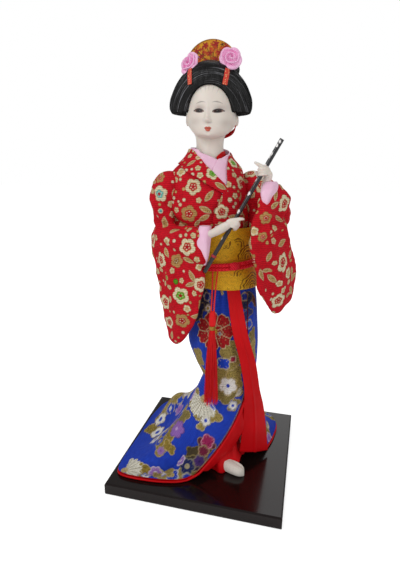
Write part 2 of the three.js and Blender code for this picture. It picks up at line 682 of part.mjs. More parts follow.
const skirtShares = [0.04, 0.12, 0.23, 0.37, 0.52, 0.68, 0.84, 1];
function skirtColumn(u, inset = 0) {
  const angle = radians(openingAngle - 358 * u);
  const upper = [skirtTop, 130, 116, 106, 97, 88, 81].map((z) => ovalPoint(hipForm(z), angle, hipTurn,
    -inset + 0.5 * Math.cos(angle * 9) * bump(z, 95, 24)));
  return [...upper, ...skirtShares.map((share) => skirtPoint(u, share, inset))];
}

const skirtCount = 34;
function skirtSheet() {
  const columns = Array.from({ length: skirtCount }, (_, i) => skirtColumn(i / (skirtCount - 1)));
  return clothSheet(columns.map((line) => line.toReversed()), skirtCloth);
}
piece('skirt', skirtSheet(), '#1f3fae', 0.7);

// Red rolled edge along the opening and the hem
const openingEdge = skirtShares.map((share) => skirtPoint(0, share, 0));
const rollPoints = [
  ...openingEdge.slice(1, -1).map((p) => p.clone().add(point(1.5, -1.2, -0.4))),
  ...Array.from({ length: 30 }, (_, i) => {
    const [, x, y] = hemLine(i / 29);
    return point(x, y, baseThickness + seatGap + pipingRadius);
  }),
];
piece('hem_piping', cordTube(curveThrough(rollPoints), pipingRadius, 44, 6), '#c01222', 0.6);

// Underskirt, a red tube with soft folds whose hem lifts over the foot
const underRows = [
  [baseThickness + seatGap, 13, -7.6, 19, 15.6, 20, 17],
  [16, 12.4, -6.4, 17.6, 12.8, 16.4, 16],
  [25, 12.2, -4.8, 15.4, 11.8, 14.2, 14.6],
  [40, 12.6, -3.4, 14, 12.2, 13.8, 13.6],
  [60, 13.8, -1.6, 13.8, 13.4, 14, 13.4],
  [kneeHeight, 14.2, -1, 14, 14.2, 14.4, 14],
  [90, 11.6, -0.5, 17.4, 17.8, 16.8, 16.4],
];
function underskirt() {
  const heights = [baseThickness + seatGap, 14, 21, 34, 58, 84];
  const folds = (angle, z) => 1.1 * Math.cos(angle * 7 + 0.6) * bump(z, baseThickness, 22);
  const lift = (ring) => ring.map((p, i) => {
    const angle = 2 * Math.PI * i / 26;
    const rise = 9.4 * bump(angle, radians(48), 0.55) * Math.max(0, 1 - (p.z - baseThickness) / 28);
    return point(p.x, p.y, p.z + rise);
  });
  const outer = column(underRows, heights, { turn: 10, sides: 26, shape: folds }).map(lift);
  const inner = column(underRows, heights, { turn: 10, sides: 26, grow: -liningCloth, shape: folds }).map(lift);
  return sleeveShell(outer, inner);
}
const feetSpace = () => [foot(rightHeel, rightFootYaw, 2 * seatGap), foot(leftHeel, leftFootYaw, 2 * seatGap)];
piece('underskirt', cut(underskirt(), ...feetSpace(), ...bothLegBores()), '#b8141c', 0.45);

// Red satin facing that turns in from the skirt's opening edge
const liningRows = [
  [0.17, point(26.8, -16.2, 60)],
  [0.34, point(25.8, -17, 46.5)],
  [0.5, point(23.4, -18.4, 35.5)],
  [0.66, point(19.4, -22.6, 25.6)],
  [0.82, point(13, -29, 17)],
  [0.92, point(6.6, -34.6, 13)],
];
piece('skirt_lining', clothSheet(liningRows.map(([share, inner]) => {
  const edge = skirtPoint(0.03, share, 0);
  const inward = point(16 - edge.x, -edge.y, 0).normalize();
  const outer = edge.addScaledVector(inward, skirtCloth + 1.2).add(point(0, 0, -1.6));
  return Array.from({ length: 5 }, (_, j) => {
    const across = j / 4;
    const crown = Math.sin(Math.PI * across) * inner.distanceTo(outer) * 0.1;
    return inner.clone().lerp(outer, across).add(point(crown * 0.5, -crown * 0.8, 0));
  });
}), liningCloth), '#b8141c', 0.45);

// Front strip: the red satin edge of the over-lapping panel
const stripRows = [
  [0, 16.4, -19.4, 144.8, 25.2, -15.6, 144.8],
  [1, 20.6, -24.2, 119.8, 31.4, -19, 117.4],
  [2, 25.6, -23.8, 97.4, 36, -17.8, 94.6],
  [3, 29.2, -21.6, 75.2, 39.4, -14.4, 73],
  [4, 29.2, -19.6, 59, 42.2, -9, 57],
  [5, 28.6, -17.8, 42, 44.6, -3.6, 36],
  [6, 27, -16.6, 19.4, 46.8, 0.6, 12.6],
];
const strip = track(stripRows);
piece('front_strip', clothSheet(Array.from({ length: 15 }, (_, i) => {
  const [, x0, y0, z0, x1, y1, z1] = strip(6 * i / 14);
  return Array.from({ length: 6 }, (_, j) => {
    const share = j / 5;
    const swell = 1.2 * Math.sin(Math.PI * share) * (i / 14);
    return point(mix(x0, x1, share) + swell * 0.4, mix(y0, y1, share) - swell, mix(z0, z1, share));
  });
}), liningCloth), '#b8141c', 0.45);

// Bodice and the collars on it
const bodiceHeights = [obiTop + seatGap, 195, 204, 213, 220, 225, 231.5];
piece('bodice', cut(sleeveShell(
  column(chestRows, bodiceHeights, { turn: bodyTurn, sides: 26 }),
  column(chestRows, bodiceHeights, { turn: bodyTurn, sides: 26, grow: -crepeCloth })),
rightArm(armGap), leftArm(armGap)), '#b5152b', 0.85);

const pinkLift = 0.45;
const pinkCross = pinkLift + collarCloth + 0.35;
const redLift = pinkCross + collarCloth + 0.35;
const redCross = redLift + collarCloth + 0.35;
const redWide = kimonoCollarWidth;
const backTop = 238.8;
piece('kimono_collar', stripOn(chestRows, bodyTurn, [
  [0, 12, 203, 15, 210, redLift],
  [1, -6, 211.2, 1, 216.8, redLift],
  [2, -27, 218.8, -11, 224.8, redLift],
  [3, -41, 222.8, -31, 231.2, redLift],
  [4, -63, 226.6, -49, 234.4, redLift],
  [5, -83, 228.8, -74, 238, redLift],
  [6, -130, backTop - kimonoCollarWidth, -130, backTop, redLift],
  [7, -180, backTop - kimonoCollarWidth, -180, backTop, redLift],
  [8, -230, backTop - kimonoCollarWidth, -230, backTop, redLift],
  [9, -281, 228, -284, 237.8, redCross],
  [10, -309, 225.6, -326, 236, redCross],
  [11, -333, 214.4, -346, 227.4, redCross],
  [12, -345, 204.4, -356, 216.8, redCross],
  [13, -353, 195, -368, 208.8, redCross],
  [14, -358, obiTop + 0.6, -377, 199.6, redCross],
  [15, -363, obiTop + 0.5, -383, 192, redCross]], 34, 2, collarCloth), '#b5152b', 0.85);

const pinkTop = 239.8;
piece('pink_collar', stripOn(chestRows, bodyTurn, [
  [0, 9, 211, 22, 222, pinkLift],
  [1, 1, 214.4, 14, 228.6, pinkLift],
  [2, -15, 221.4, -4, 232.2, pinkLift],
  [3, -34, 228, -28, 234.8, pinkLift],
  [4, -55, 231.4, -43, 236, pinkLift],
  [5, -78, 233.6, -62, 238.4, pinkLift],
  [6, -130, pinkTop - pinkCollarWidth, -130, pinkTop, pinkLift],
  [7, -180, pinkTop - pinkCollarWidth, -180, pinkTop, pinkLift],
  [8, -230, pinkTop - pinkCollarWidth, -230, pinkTop, pinkLift],
  [9, -282, 230.4, -286, 238.8, pinkCross],
  [10, -320, 226, -328, 236.8, pinkCross],
  [11, -345, 217, -350, 234, pinkCross],
  [12, -358, 212.4, -362, 231.6, pinkCross],
  [13, -365, 210, -374, 222, pinkCross]], 30, 2, collarCloth), '#eebfe0', 0.35);

const innerLift = -crepeCloth - seatGap - collarCloth;
piece('inner_collar', stripOn(chestRows, bodyTurn, [
  [0, 4, 231.8, 3, 233.6, innerLift],
  [1, 16, 233.2, 14, 236, innerLift],
  [2, 36, 239.6 - innerCollarWidth, 34, 239.6, innerLift],
  [3, 70, 241.4 - innerCollarWidth, 68, 241.4, innerLift]], 12, 1, collarCloth), '#8f0f20', 0.5);

// Sash, its cord and knot
const sashHeights = [obiBottom, 160, 176, obiTop];
const sashInner = column(sashRows, sashHeights, { turn: bodyTurn, sides: 26, grow: seatGap });
const sashOuter = column(sashRows, sashHeights, { turn: bodyTurn, sides: 26, grow: seatGap + obiThickness });
piece('obi_band', sleeveShell(sashOuter, sashInner), '#bd8f1c', 0.6);

const cordLift = seatGap + obiThickness + seatGap;
const chest = track(chestRows);
const cordRow = (height) => Array.from({ length: 28 }, (_, i) => {
  const angle = 2 * Math.PI * i / 28;
  const rise = 1.6 * Math.sin(angle);
  return { angle, z: height + rise };
});
function obiCord() {
  const section = (place, k, sides) => {
    const turn = 2 * Math.PI * k / sides;
    const out = obiCordRadius * (1 + Math.cos(turn));
    const up = 2 * obiCordRadius * Math.sin(turn);
    const p = ovalPoint(chest(place.z), place.angle, bodyTurn, cordLift + out);
    return point(p.x, p.y, place.z + up);
  };
  const vertices = [];
  const faces = [];
  const rows = cordRow(obiCordHeight).map((place) => (
    Array.from({ length: 8 }, (_, k) => vertices.push(section(place, k, 8)) - 1)));
  rows.forEach((row, i) => bridge(faces, row, rows[(i + 1) % rows.length]));
  return closedGeometry(vertices, faces);
}
piece('obi_cord', obiCord(), '#d0142a', 0.55);

const knotAngle = radians(-5);
const knotPlace = ovalPoint(chest(obiCordHeight + 0.4), knotAngle, bodyTurn, cordLift + 2 * obiCordRadius + seatGap);
function knot() {
  const lump = new THREE.SphereGeometry(1, 12, 8);
  lump.scale(4.2, 2.2, 3.2);
  lump.translate(0, -2.2, 0);
  lump.rotateZ(radians(bodyTurn) - knotAngle);
  lump.translate(knotPlace.x, knotPlace.y, knotPlace.z);
  return lump;
}
const cordKeepOut = () => loft(column(chestRows, [obiCordHeight - 5.4, obiCordHeight + 5.4],
  { turn: bodyTurn, sides: 36, grow: cordLift + 2 * obiCordRadius + seatGap }));
piece('obi_knot', cut(knot(), cordKeepOut()), '#d0142a', 0.55);

// Tassel on two cords that hang from the sash cord
const tasselX = 6.2;
const tasselTop = 133.4;
const cordUnderside = 159.22;
const tasselPoints = (side) => [
  point(tasselX + side * 1.7, -21.2, cordUnderside),
  point(tasselX + side * 1.75, -22.2, 155.4),
  point(tasselX + side * 1.5, -24.4, 147),
  point(tasselX + side * 1.2, -26.2, 138.6),
  point(tasselX + side * 0.95, -26.9, tasselTop + seatGap / 3),
];
piece('tassel_cord_a', cordTube(curveThrough(tasselPoints(-1)), tasselCordDiameter / 2, 12, 8), '#cc1420', 0.6);
piece('tassel_cord_b', cordTube(curveThrough(tasselPoints(1)), tasselCordDiameter / 2, 12, 8), '#cc1420', 0.6);

const turned = (profile, sides, x, y) => {
  const form = new THREE.LatheGeometry(profile.map(([r, z]) => new THREE.Vector2(r, z)), sides);
  form.rotateX(Math.PI / 2);
  form.translate(x, y, 0);
  return form;
};
const tieTop = 122.6;
const tieBottom = 119.8;
piece('tassel_head', turned([[0, tieTop + seatGap], [1.9, tieTop + seatGap], [tasselHeadRadius + 0.2, 126],
  [tasselHeadRadius, 130], [1.6, tasselTop - 0.6], [0, tasselTop]], 14, tasselX, -27), '#ce1018', 0.7);
piece('tassel_tie', turned([[0, tieBottom], [1.9, tieBottom], [2.3, (tieTop + tieBottom) / 2], [1.9, tieTop],
  [0, tieTop]], 14, tasselX, -27), '#c79a3a', 0.4, 0.6);
const tasselBottom = tieBottom - seatGap - tasselSkirtLength;
piece('tassel_skirt', turned([[0, tasselBottom - 3], [2.4, tasselBottom - 1], [4.6, tasselBottom + 2],
  [4.4, tasselBottom + 12], [3.6, tasselBottom + 28], [2.8, tasselBottom + 42], [1.9, tieBottom - seatGap],
  [0, tieBottom - seatGap]], 12, tasselX, -27.4), '#ce1018', 0.75);

// Bow at the back of the sash: a folded loop, the band through it, and the tail under it
function atBack(geometry, out, z) {
  geometry.rotateZ(radians(bodyTurn));
  const place = ovalPoint(chest(z), Math.PI, bodyTurn, seatGap + obiThickness + out);
  geometry.translate(place.x, place.y, z);
  return geometry;
}

function cushionBlock(width, depth, height, crown, sides = 20) {
  const rows = [[0, 0.72], [0.1, 0.95], [0.9, 0.95], [1, 0.72]];
  return loft(rows.map(([share, scale]) => Array.from({ length: sides }, (_, i) => {
    const angle = 2 * Math.PI * i / sides;
    const round = (value) => Math.sign(value) * Math.abs(value) ** 0.35;
    return point(width / 2 * round(Math.cos(angle)) * (share === 0 || share === 1 ? 0.97 : 1),
      (depth / 2) * round(Math.sin(angle)) * scale * (1 + crown * Math.sin(angle)), mix(-height / 2, height / 2, share));
  })));
}
const bowWidth = 40;
const bowHeight = 36;
const bowDepth = 12;
const bowHeightCentre = 172;
const skirtKeepOut = () => loft(column(hipRows, [110, 120, 130, 140, 150],
  { turn: hipTurn, sides: 26, grow: 3 * seatGap }));
const sashKeepOut = () => loft(column(sashRows, [120, 140, ...sashHeights, 200],
  { turn: bodyTurn, sides: 26, grow: 2 * seatGap + obiThickness }));
piece('obi_bow', cut(atBack(cushionBlock(bowWidth, bowDepth, bowHeight, 0.04), bowDepth / 2 - 1.5, bowHeightCentre),
  sashKeepOut(), cordKeepOut()), '#bd8f1c', 0.6);
piece('obi_tail', cut(atBack(cushionBlock(bowWidth * 0.8, 2.4, 26, 0), 2, bowHeightCentre - bowHeight / 2 - 13.5),
  sashKeepOut(), cordKeepOut(), skirtKeepOut()), '#bd8f1c', 0.6);

// Sleeves: an arm tube joined to a long hanging bag
const rightBagTurn = -27.6;
const rightBagRows = [
  [104.6, -21.6, -22.4, 2, 2.4, 1.2, 1.2],
  [107, -21.4, -22.6, 5, 5.4, 2.4, 2.4],
  [112, -20.4, -22.8, 8, 8.4, 3.6, 3.4],
  [128, -17.8, -24, 15, 15, 5.4, 5],
  [142, -17, -24.6, 19, 19, 6.6, 6],
  [154, -16.8, -24.6, 21.4, 21.6, 7.4, 6.6],
  [173, -19.2, -23.4, 25.4, 25.2, 8, 7],
  [184, -20.4, -22.8, 24.4, 24, 7.4, 6.6],
  [189, -20.6, -22.6, 21, 23.4, 4.6, 4.2],
  [190.6, -20, -22.8, 15, 22, 1.6, 1.6],
];
const leftBagTurn = 61.7;
const leftBagRows = [
  [129.6, 50.2, -7, 3, 3, 1.2, 1.2],
  [131.6, 50.7, -6, 7.4, 6, 2.4, 2.4],
  [138, 51, -5.6, 15, 14.6, 4.2, 4.2],
  [152, 48.2, -10.8, 21.8, 21, 5.8, 5.8],
  [164, 46.6, -13.2, 21.4, 20, 6.4, 6.4],
  [181, 43.4, -19.6, 21.4, 16.4, 6.8, 6.8],
  [190, 43.2, -19.8, 20.6, 13, 6.6, 6.6],
  [199, 43.8, -18.8, 19, 15.6, 6.4, 6.4],
  [207, 44.4, -17.8, 16.4, 12.8, 5.8, 5.8],
  [213, 44.2, -18.2, 12.6, 7.6, 4.4, 4.4],
  [217, 43.2, -20, 7.6, 3, 2.6, 2.6],
];
const bagFold = (phase, top) => (angle, z) => (
  0.7 * Math.cos(angle * 6 + phase) * bump(z, (top + top - 80) / 2, 30));

const rightBag = (grow, heights) => loft(column(rightBagRows, heights,
  { turn: rightBagTurn, sides: 18, grow, shape: bagFold(0.5, 190) }));
const leftBag = (grow, heights) => loft(column(leftBagRows, heights,
  { turn: leftBagTurn, sides: 18, grow, shape: bagFold(1.4, 215) }));
const rightBagHeights = [104.6, 107, 112, 122, 134, 148, 162, 173, 182, 188, 190.6];
const leftBagHeights = [129.6, 131.6, 138, 146, 156, 168, 181, 190, 199, 207, 213, 217];

const rightUpperSleeve = () => limb([point(-20, -8.6, 216.4), point(-29.4, -12.4, 213.4), point(-33, -14, 204),
  point(-33.6, -15, 193), point(-31.4, -17, 185)], [9.8, 10, 9, 8.2, 7.4], 6, 10);
const leftUpperSleeve = () => limb([point(14, 12, 215.6), point(26, 11.4, 213.6), point(36.6, 8, 204),
  point(44, 2.4, 194), point(45.6, -4, 189)], [9.8, 10.6, 11, 10.4, 8], 6, 10);

// Pink sleeve linings that show at the wrists
const rightCuffRows = [
  [166, 2.2, -33.6, 0.9, 1.4, 1.6, 1.6],
  [172, 0.6, -32.8, 3, 4.6, 2.6, 2.6],
  [180, -0.6, -32.4, 5, 6.4, 4, 4],
  [188, -0.6, -32.4, 5, 6.6, 5, 4.8],
  [192.6, -0.8, -32, 4.4, 6, 3.6, 3.4],
];
const leftCuffRows = [
  [205.6, 37.6, -30.2, 2.4, 2, 1, 1],
  [210, 38.4, -28.4, 4.6, 5, 2.6, 2.6],
  [215, 39.6, -25.8, 5.8, 6, 4.4, 4.4],
  [219.6, 40.4, -24, 5, 5, 4.4, 4.4],
  [221.6, 40.6, -23.4, 3.6, 3.6, 3.4, 3.4],
];
const rightCuffForm = (grow) => loft(column(rightCuffRows, heightsBetween(166 - grow, 192.6 + grow, 6),
  { turn: rightBagTurn, sides: 12, grow }));
const leftCuffForm = (grow) => loft(column(leftCuffRows, heightsBetween(205.6 - grow, 221.6 + grow, 5),
  { turn: leftBagTurn, sides: 12, grow }));

// Hands that hold the flute
const fluteLow = point(1.9, -34, 161.7);
const fluteHigh = point(45.8, -26, 243.2);
const fluteAt = (share) => fluteLow.clone().lerp(fluteHigh, share);
const fluteBar = (radius, from = 0, to = 1) => bar(fluteAt(from), fluteAt(to), radius, 10);
const fluteSpace = () => fluteBar(fluteRadius + gripClearance, -0.3, 1.6);

const palmForm = ([points, radii], grow = 0) => limb(points, radii.map((radius) => radius + grow), 6, 10, 0.72);
const rightPalm = [[rightWrist.clone().add(point(-6, 2.6, -1.2)), rightWrist, point(10, -36, 194),
  point(16.6, -36.6, 198), point(19.4, -36, 198.4)], [3.1, 3, 3.6, 4, 3]];
const leftPalm = [[leftWrist.clone().add(point(0.8, 4, -5)), leftWrist, point(39.8, -25.8, 219.4),
  point(39.2, -26.4, 223.6), point(38, -27, 225.6)], [3.1, 3, 3.6, 3.8, 2.8]];
const rightFingers = [
  [point(17.6, -36.4, 199.6), point(23, -36.4, 199.8), point(27.8, -34.8, 198.4)],
  [point(18, -36.6, 198.2), point(22.6, -35.4, 197.4), point(24.2, -31, 195.4), point(21.4, -27.4, 194.4)],
  [point(17.4, -36.6, 196.4), point(21.6, -36, 195.2), point(23.4, -31.6, 193.2), point(20.6, -28, 192.2)],
  [point(16, -36.2, 194.4), point(20, -36, 193), point(22, -32.4, 191.2), point(19.4, -29, 190.2)],
  [point(10, -34.4, 195.6), point(14.4, -30.6, 198.8), point(20, -27.4, 200.4)],
];
const leftFingers = [
  [point(38.6, -28, 226), point(35.6, -31.4, 227.6), point(31.4, -32.6, 230)],
  [point(39.2, -28.4, 224.2), point(37.4, -32.4, 224.9), point(33, -32.8, 224.6), point(31, -29.8, 224)],
  [point(39.4, -28.2, 222.2), point(37.2, -32.4, 222.7), point(32.6, -32.6, 222.4), point(30.6, -29.6, 221.8)],
  [point(39.4, -27.6, 220.2), point(36.6, -31.9, 220.6), point(32.2, -32.2, 220.2), point(30.4, -29.4, 219.6)],
  [point(38.6, -23.8, 220.6), point(34.8, -22.8, 224), point(32.4, -24.6, 226.6)],
];
const finger = (path, grow = 0) => limb(
  path, [fingerRadius + grow, fingerRadius + grow, fingerRadius * 0.7 + grow], 4, 6);
const hand = (palm, fingers) => fuse(palmForm(palm), ...fingers.map((path) => finger(path)));

piece('right_hand', cut(hand(rightPalm, rightFingers), fluteSpace(), rightArm(armGap)), '#e2dad0', 0.5);
piece('left_hand', cut(hand(leftPalm, leftFingers), fluteSpace(), leftArm(armGap)), '#e2dad0', 0.5);

const palmClearance = 0.4;
const rightWristSpace = () => palmForm(rightPalm, palmClearance);
const leftWristSpace = () => fuse(palmForm(leftPalm, palmClearance),
  finger(leftFingers[3], palmClearance), finger(leftFingers[4], palmClearance));
const fluteSweep = () => fluteBar(fluteRadius + 2 * seatGap, -0.1, 1);
piece('right_cuff', cut(rightCuffForm(0), rightWristSpace(), rightArm(armGap), fluteSweep()), '#eebfe0', 0.35);
piece('left_cuff', cut(leftCuffForm(0), leftWristSpace(), leftArm(armGap)), '#eebfe0', 0.35);

const bodiceKeepOut = () => loft(column(chestRows, [184, ...bodiceHeights, 236],
  { turn: bodyTurn, sides: 26, grow: 2 * seatGap }));
const collarKeepOut = () => loft(column(chestRows, [224, 229, 235],
  { turn: bodyTurn, sides: 26, grow: redCross + collarCloth + seatGap }));
piece('right_sleeve', cut(fuse(rightUpperSleeve(), rightBag(0, rightBagHeights)),
  bodiceKeepOut(), collarKeepOut(), rightArm(armGap), rightCuffForm(seatGap), rightWristSpace(), fluteSweep()), '#b5152b', 0.85);
piece('left_sleeve', cut(fuse(leftUpperSleeve(), leftBag(0, leftBagHeights)),
  bodiceKeepOut(), collarKeepOut(), leftArm(armGap), leftCuffForm(seatGap), leftWristSpace()), '#b5152b', 0.85);

// Flute: a bored tube with a red ring near its lower end
const ringShare = 0.13;
const ringHalf = fluteRingLength / 2 / fluteLow.distanceTo(fluteHigh);
const ringSlot = () => cut(fluteBar(fluteRadius + 1, ringShare - ringHalf - 0.003, ringShare + ringHalf + 0.003),
  fluteBar(fluteRadius - 0.35, 0, 1));
piece('flute', cut(fluteBar(fluteRadius), fluteBar(fluteBore, -0.1, 0.97), ringSlot()), '#2a2a2e', 0.3);
piece('flute_ring', cut(fluteBar(fluteRingRadius, ringShare - ringHalf, ringShare + ringHalf),
  fluteBar(fluteRadius - 0.35 + 0.2, 0, 1)), '#a82030', 0.4);

export default doll;
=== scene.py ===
import math
import random
import bmesh
import bpy
import numpy as np
from mathutils import Matrix, Vector


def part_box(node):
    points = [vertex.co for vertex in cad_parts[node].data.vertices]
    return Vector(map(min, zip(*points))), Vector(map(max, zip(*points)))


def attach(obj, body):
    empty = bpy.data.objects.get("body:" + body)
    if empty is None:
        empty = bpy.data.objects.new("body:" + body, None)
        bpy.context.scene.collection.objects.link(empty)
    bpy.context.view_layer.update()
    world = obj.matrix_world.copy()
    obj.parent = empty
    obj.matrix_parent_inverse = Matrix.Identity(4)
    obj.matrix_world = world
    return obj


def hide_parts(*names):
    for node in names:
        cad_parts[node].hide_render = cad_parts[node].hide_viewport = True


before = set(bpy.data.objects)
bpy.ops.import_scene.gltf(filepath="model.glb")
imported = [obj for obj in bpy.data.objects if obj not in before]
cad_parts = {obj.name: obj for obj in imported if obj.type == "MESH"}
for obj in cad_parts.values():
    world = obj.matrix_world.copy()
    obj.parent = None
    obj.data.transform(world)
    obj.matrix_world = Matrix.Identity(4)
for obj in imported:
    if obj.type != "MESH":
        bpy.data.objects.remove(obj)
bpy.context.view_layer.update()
mm = 0.001  # a millimetre, in the metres that Blender takes

# Camera, where the photographer stood: a little to the doll's left and above its shoulders.
# The lens and place come from the four corners of the board and the height of the comb.
azimuth, elevation, roll = (math.radians(turn) for turn in (14.0, 15.45, 0.6))
eye = Vector((0.0643, -0.2958, 0.2274))
back = Vector((math.sin(azimuth) * math.cos(elevation), -math.cos(azimuth) * math.cos(elevation),
               math.sin(elevation)))
level = Vector((math.cos(azimuth), math.sin(azimuth), 0))
upright = back.cross(level)
right = math.cos(roll) * level + math.sin(roll) * upright
above = math.cos(roll) * upright - math.sin(roll) * level
camera = bpy.data.objects.new("camera", bpy.data.cameras.new("camera"))
camera.data.lens = 27.16
camera.data.sensor_width = 36
camera.data.clip_start = 0.02
camera.matrix_world = Matrix.Translation(eye) @ Matrix((right, above, back)).transposed().to_4x4()
bpy.context.scene.collection.objects.link(camera)
bpy.context.scene.camera = camera
bpy.context.scene.view_settings.view_transform = "Standard"


# Pale floor and soft studio light, as in a catalogue picture: white all round, a faint shadow
# on the floor, a large lamp at the left of the camera and a weaker one at its right.
def tone(colour):
    """An sRGB hex colour as the linear one that Blender takes."""
    parts = [int(colour[i:i + 2], 16) / 255 for i in (1, 3, 5)]
    return (*[c / 12.92 if c <= 0.04045 else ((c + 0.055) / 1.055) ** 2.4 for c in parts], 1.0)


def join(node, inputs):
    """Sets a node's sockets, each to a value or to another node's output."""
    for socket, value in inputs.items():
        if isinstance(value, bpy.types.NodeSocket):
            node.id_data.links.new(value, node.inputs[socket])
        else:
            node.inputs[socket].default_value = value
    return node


def add(tree, kind, inputs=None, **settings):
    """Adds a node of one kind to a tree, with its settings and its sockets."""
    node = tree.nodes.new("ShaderNode" + kind)
    for key, value in settings.items():
        setattr(node, key, value)
    return join(node, inputs or {})


def finish_named(name, **values):
    """A new material with its node tree and shader; values go to the shader's own sockets."""
    material = bpy.data.materials.new(name)
    material.use_nodes = True
    shader = material.node_tree.nodes["Principled BSDF"]
    for socket, value in values.items():
        shader.inputs[socket.replace("_", " ").title().replace("Ior", "IOR")].default_value = value
    return material, material.node_tree, shader


def meshed(bm, name):
    """The mesh that a bmesh holds; the bmesh is then let go."""
    mesh = bpy.data.meshes.new(name)
    bm.to_mesh(mesh)
    bm.free()
    return mesh


bm = bmesh.new()
bmesh.ops.create_grid(bm, x_segments=1, y_segments=1, size=4)
floor = bpy.data.objects.new("floor", meshed(bm, "floor"))
floor.data.transform(Matrix.Translation((0, 0, -0.0002)))
bpy.context.scene.collection.objects.link(floor)
paper, tree, shader = finish_named("floor_paper", base_color=tone("#f4f4f4"), roughness=0.9)
rays = add(tree, "LightPath")
lit = add(tree, "MapRange", {"Value": rays.outputs["Is Camera Ray"], "To Max": 0.62})
glow = add(tree, "Emission", {"Color": (1, 1, 1, 1), "Strength": lit.outputs[0]})
dimmed = add(tree, "AddShader", {0: shader.outputs[0], 1: glow.outputs[0]})
tree.links.new(dimmed.outputs[0], tree.nodes["Material Output"].inputs[0])
floor.data.materials.append(paper)

world = bpy.data.worlds.new("studio")
bpy.context.scene.world = world
world.use_nodes = True
tree = world.node_tree
rays = add(tree, "LightPath")
seen = add(tree, "MapRange", {"Value": rays.outputs["Is Camera Ray"], "To Min": 0.46, "To Max": 1.0})
strength = add(tree, "Mix", {0: rays.outputs["Is Glossy Ray"], 2: seen.outputs[0], 3: 0.3})
join(tree.nodes["Background"], {"Color": (1, 1, 1, 1), "Strength": strength.outputs[0]})

for name, place, size, power in (("key_lamp", (-0.75, -1.0, 0.95), 0.7, 6.5), ("fill_lamp", (0.9, -0.8, 0.6), 0.8, 2.8),
                                 ("back_lamp", (0.1, 1.0, 0.9), 0.8, 2.2)):
    lamp = bpy.data.objects.new(name, bpy.data.lights.new(name, "AREA"))
    lamp.data.size = size
    lamp.data.energy = power
    lamp.data.specular_factor = 0.12 if name == "back_lamp" else 0.8
    lamp.location = place
    aim = Vector((0, 0, 0.15)) - Vector(place)
    lamp.rotation_euler = aim.to_track_quat("-Z", "Y").to_euler()
    bpy.context.scene.collection.objects.link(lamp)


# Sash cord, two braided silk cords side by side round the sash, tied in a woven knot in front,
# and the tassel: two thin cords, a bound head, a gold tie and a skirt of loose silk threads.
def unit(value):
    """A value kept between 0 and 1."""
    return np.clip(value, 0, 1)


def track(rows):
    """Smooth values along rows of numbers, of which the first says how far along each row is."""
    table = np.array(rows, float)
    place, values = table[:, 0], table[:, 1:]
    after = np.minimum(np.arange(len(table)) + 1, len(table) - 1)
    before = np.maximum(np.arange(len(table)) - 1, 0)
    slope = (values[after] - values[before]) / (place[after] - place[before])[:, None]

    def at(wanted):
        wanted = np.asarray(wanted, float)
        i = np.clip(np.searchsorted(place, wanted) - 1, 0, len(place) - 2)
        span = (place[i + 1] - place[i])[..., None]
        t = unit((wanted - place[i])[..., None] / span)
        return ((2 * t**3 - 3 * t**2 + 1) * values[i] + (t**3 - 2 * t**2 + t) * slope[i] * span
                + (3 * t**2 - 2 * t**3) * values[i + 1] + (t**3 - t**2) * slope[i + 1] * span)
    return at


def cos_sin(degrees):
    return math.cos(math.radians(degrees)), math.sin(math.radians(degrees))


def oval(row, angle, turn, grow=0.0):
    """x and y on an egg-shaped ring: its centre, then its reach to left, right, front and back."""
    x, y, left, right, front, rear = np.moveaxis(row, -1, 0)
    across = np.sin(angle) * (np.where(np.sin(angle) < 0, left, right) + grow)
    ahead = np.cos(angle) * (np.where(np.cos(angle) < 0, rear, front) + grow)
    c, s = cos_sin(turn)
    return x + across * c + ahead * s, y + across * s - ahead * c


def bump(value, centre, width):
    return np.exp(-(((value - centre) / width) ** 2))


def mix(a, b, share):
    return a + (b - a) * share


def eased(v):
    """From 0 to 1 with a slow start and end, which crowds a grid's rows at both ends."""
    return 0.5 - 0.5 * np.cos(math.pi * v)


def vertices(mesh, what="co"):
    """Where the vertices of a mesh are, in metres, or their normals."""
    values = np.empty(len(mesh.vertices) * 3)
    mesh.vertices.foreach_get(what, values)
    return values.reshape(-1, 3)


def link(name, mesh, material, body="doll_body"):
    """Puts a mesh or curve into the scene with its finish, on the body that it moves with."""
    thing = bpy.data.objects.new(name, mesh)
    bpy.context.scene.collection.objects.link(thing)
    mesh.materials.append(material)
    if isinstance(mesh, bpy.types.Mesh):
        mesh.shade_smooth()
    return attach(thing, body)


def cloth(name, across, down, place, flat, material, body="doll_body", closed=False, wall=0.0):
    """A grid laid by place(u, v), in mm; flat is its width and length, which its UV map keeps in metres."""
    bm = bmesh.new()
    bmesh.ops.create_grid(bm, x_segments=across, y_segments=down, size=0.5)
    mesh = meshed(bm, name)
    co = vertices(mesh)
    u, v = co[:, 0] + 0.5, co[:, 1] + 0.5
    mesh.vertices.foreach_set("co", np.stack(np.broadcast_arrays(*place(u, v)), -1).ravel() * mm)
    corner = np.empty(len(mesh.loops), int)
    mesh.loops.foreach_get("vertex_index", corner)
    layer = mesh.uv_layers.new(name="cloth")
    layer.data.foreach_set("uv", (np.stack((u * flat[0], v * flat[1]), -1)[corner] * mm).ravel())
    if closed:
        bm = bmesh.new()
        bm.from_mesh(mesh)
        bmesh.ops.remove_doubles(bm, verts=bm.verts, dist=2e-6)
        bmesh.ops.recalc_face_normals(bm, faces=bm.faces)
        bm.to_mesh(mesh)
        bm.free()
    made = link(name, mesh, material, body)
    if wall:
        thick = made.modifiers.new("wall", "SOLIDIFY")
        thick.thickness = wall * mm
        thick.offset = -1
    return made


def along(points):
    """A smooth line through points, as a function of its length, and that length."""
    points = np.array(points, float)
    steps = np.concatenate(([0], np.cumsum(np.linalg.norm(np.diff(points, axis=0), axis=1))))
    return track(np.column_stack((steps, points))), steps[-1]


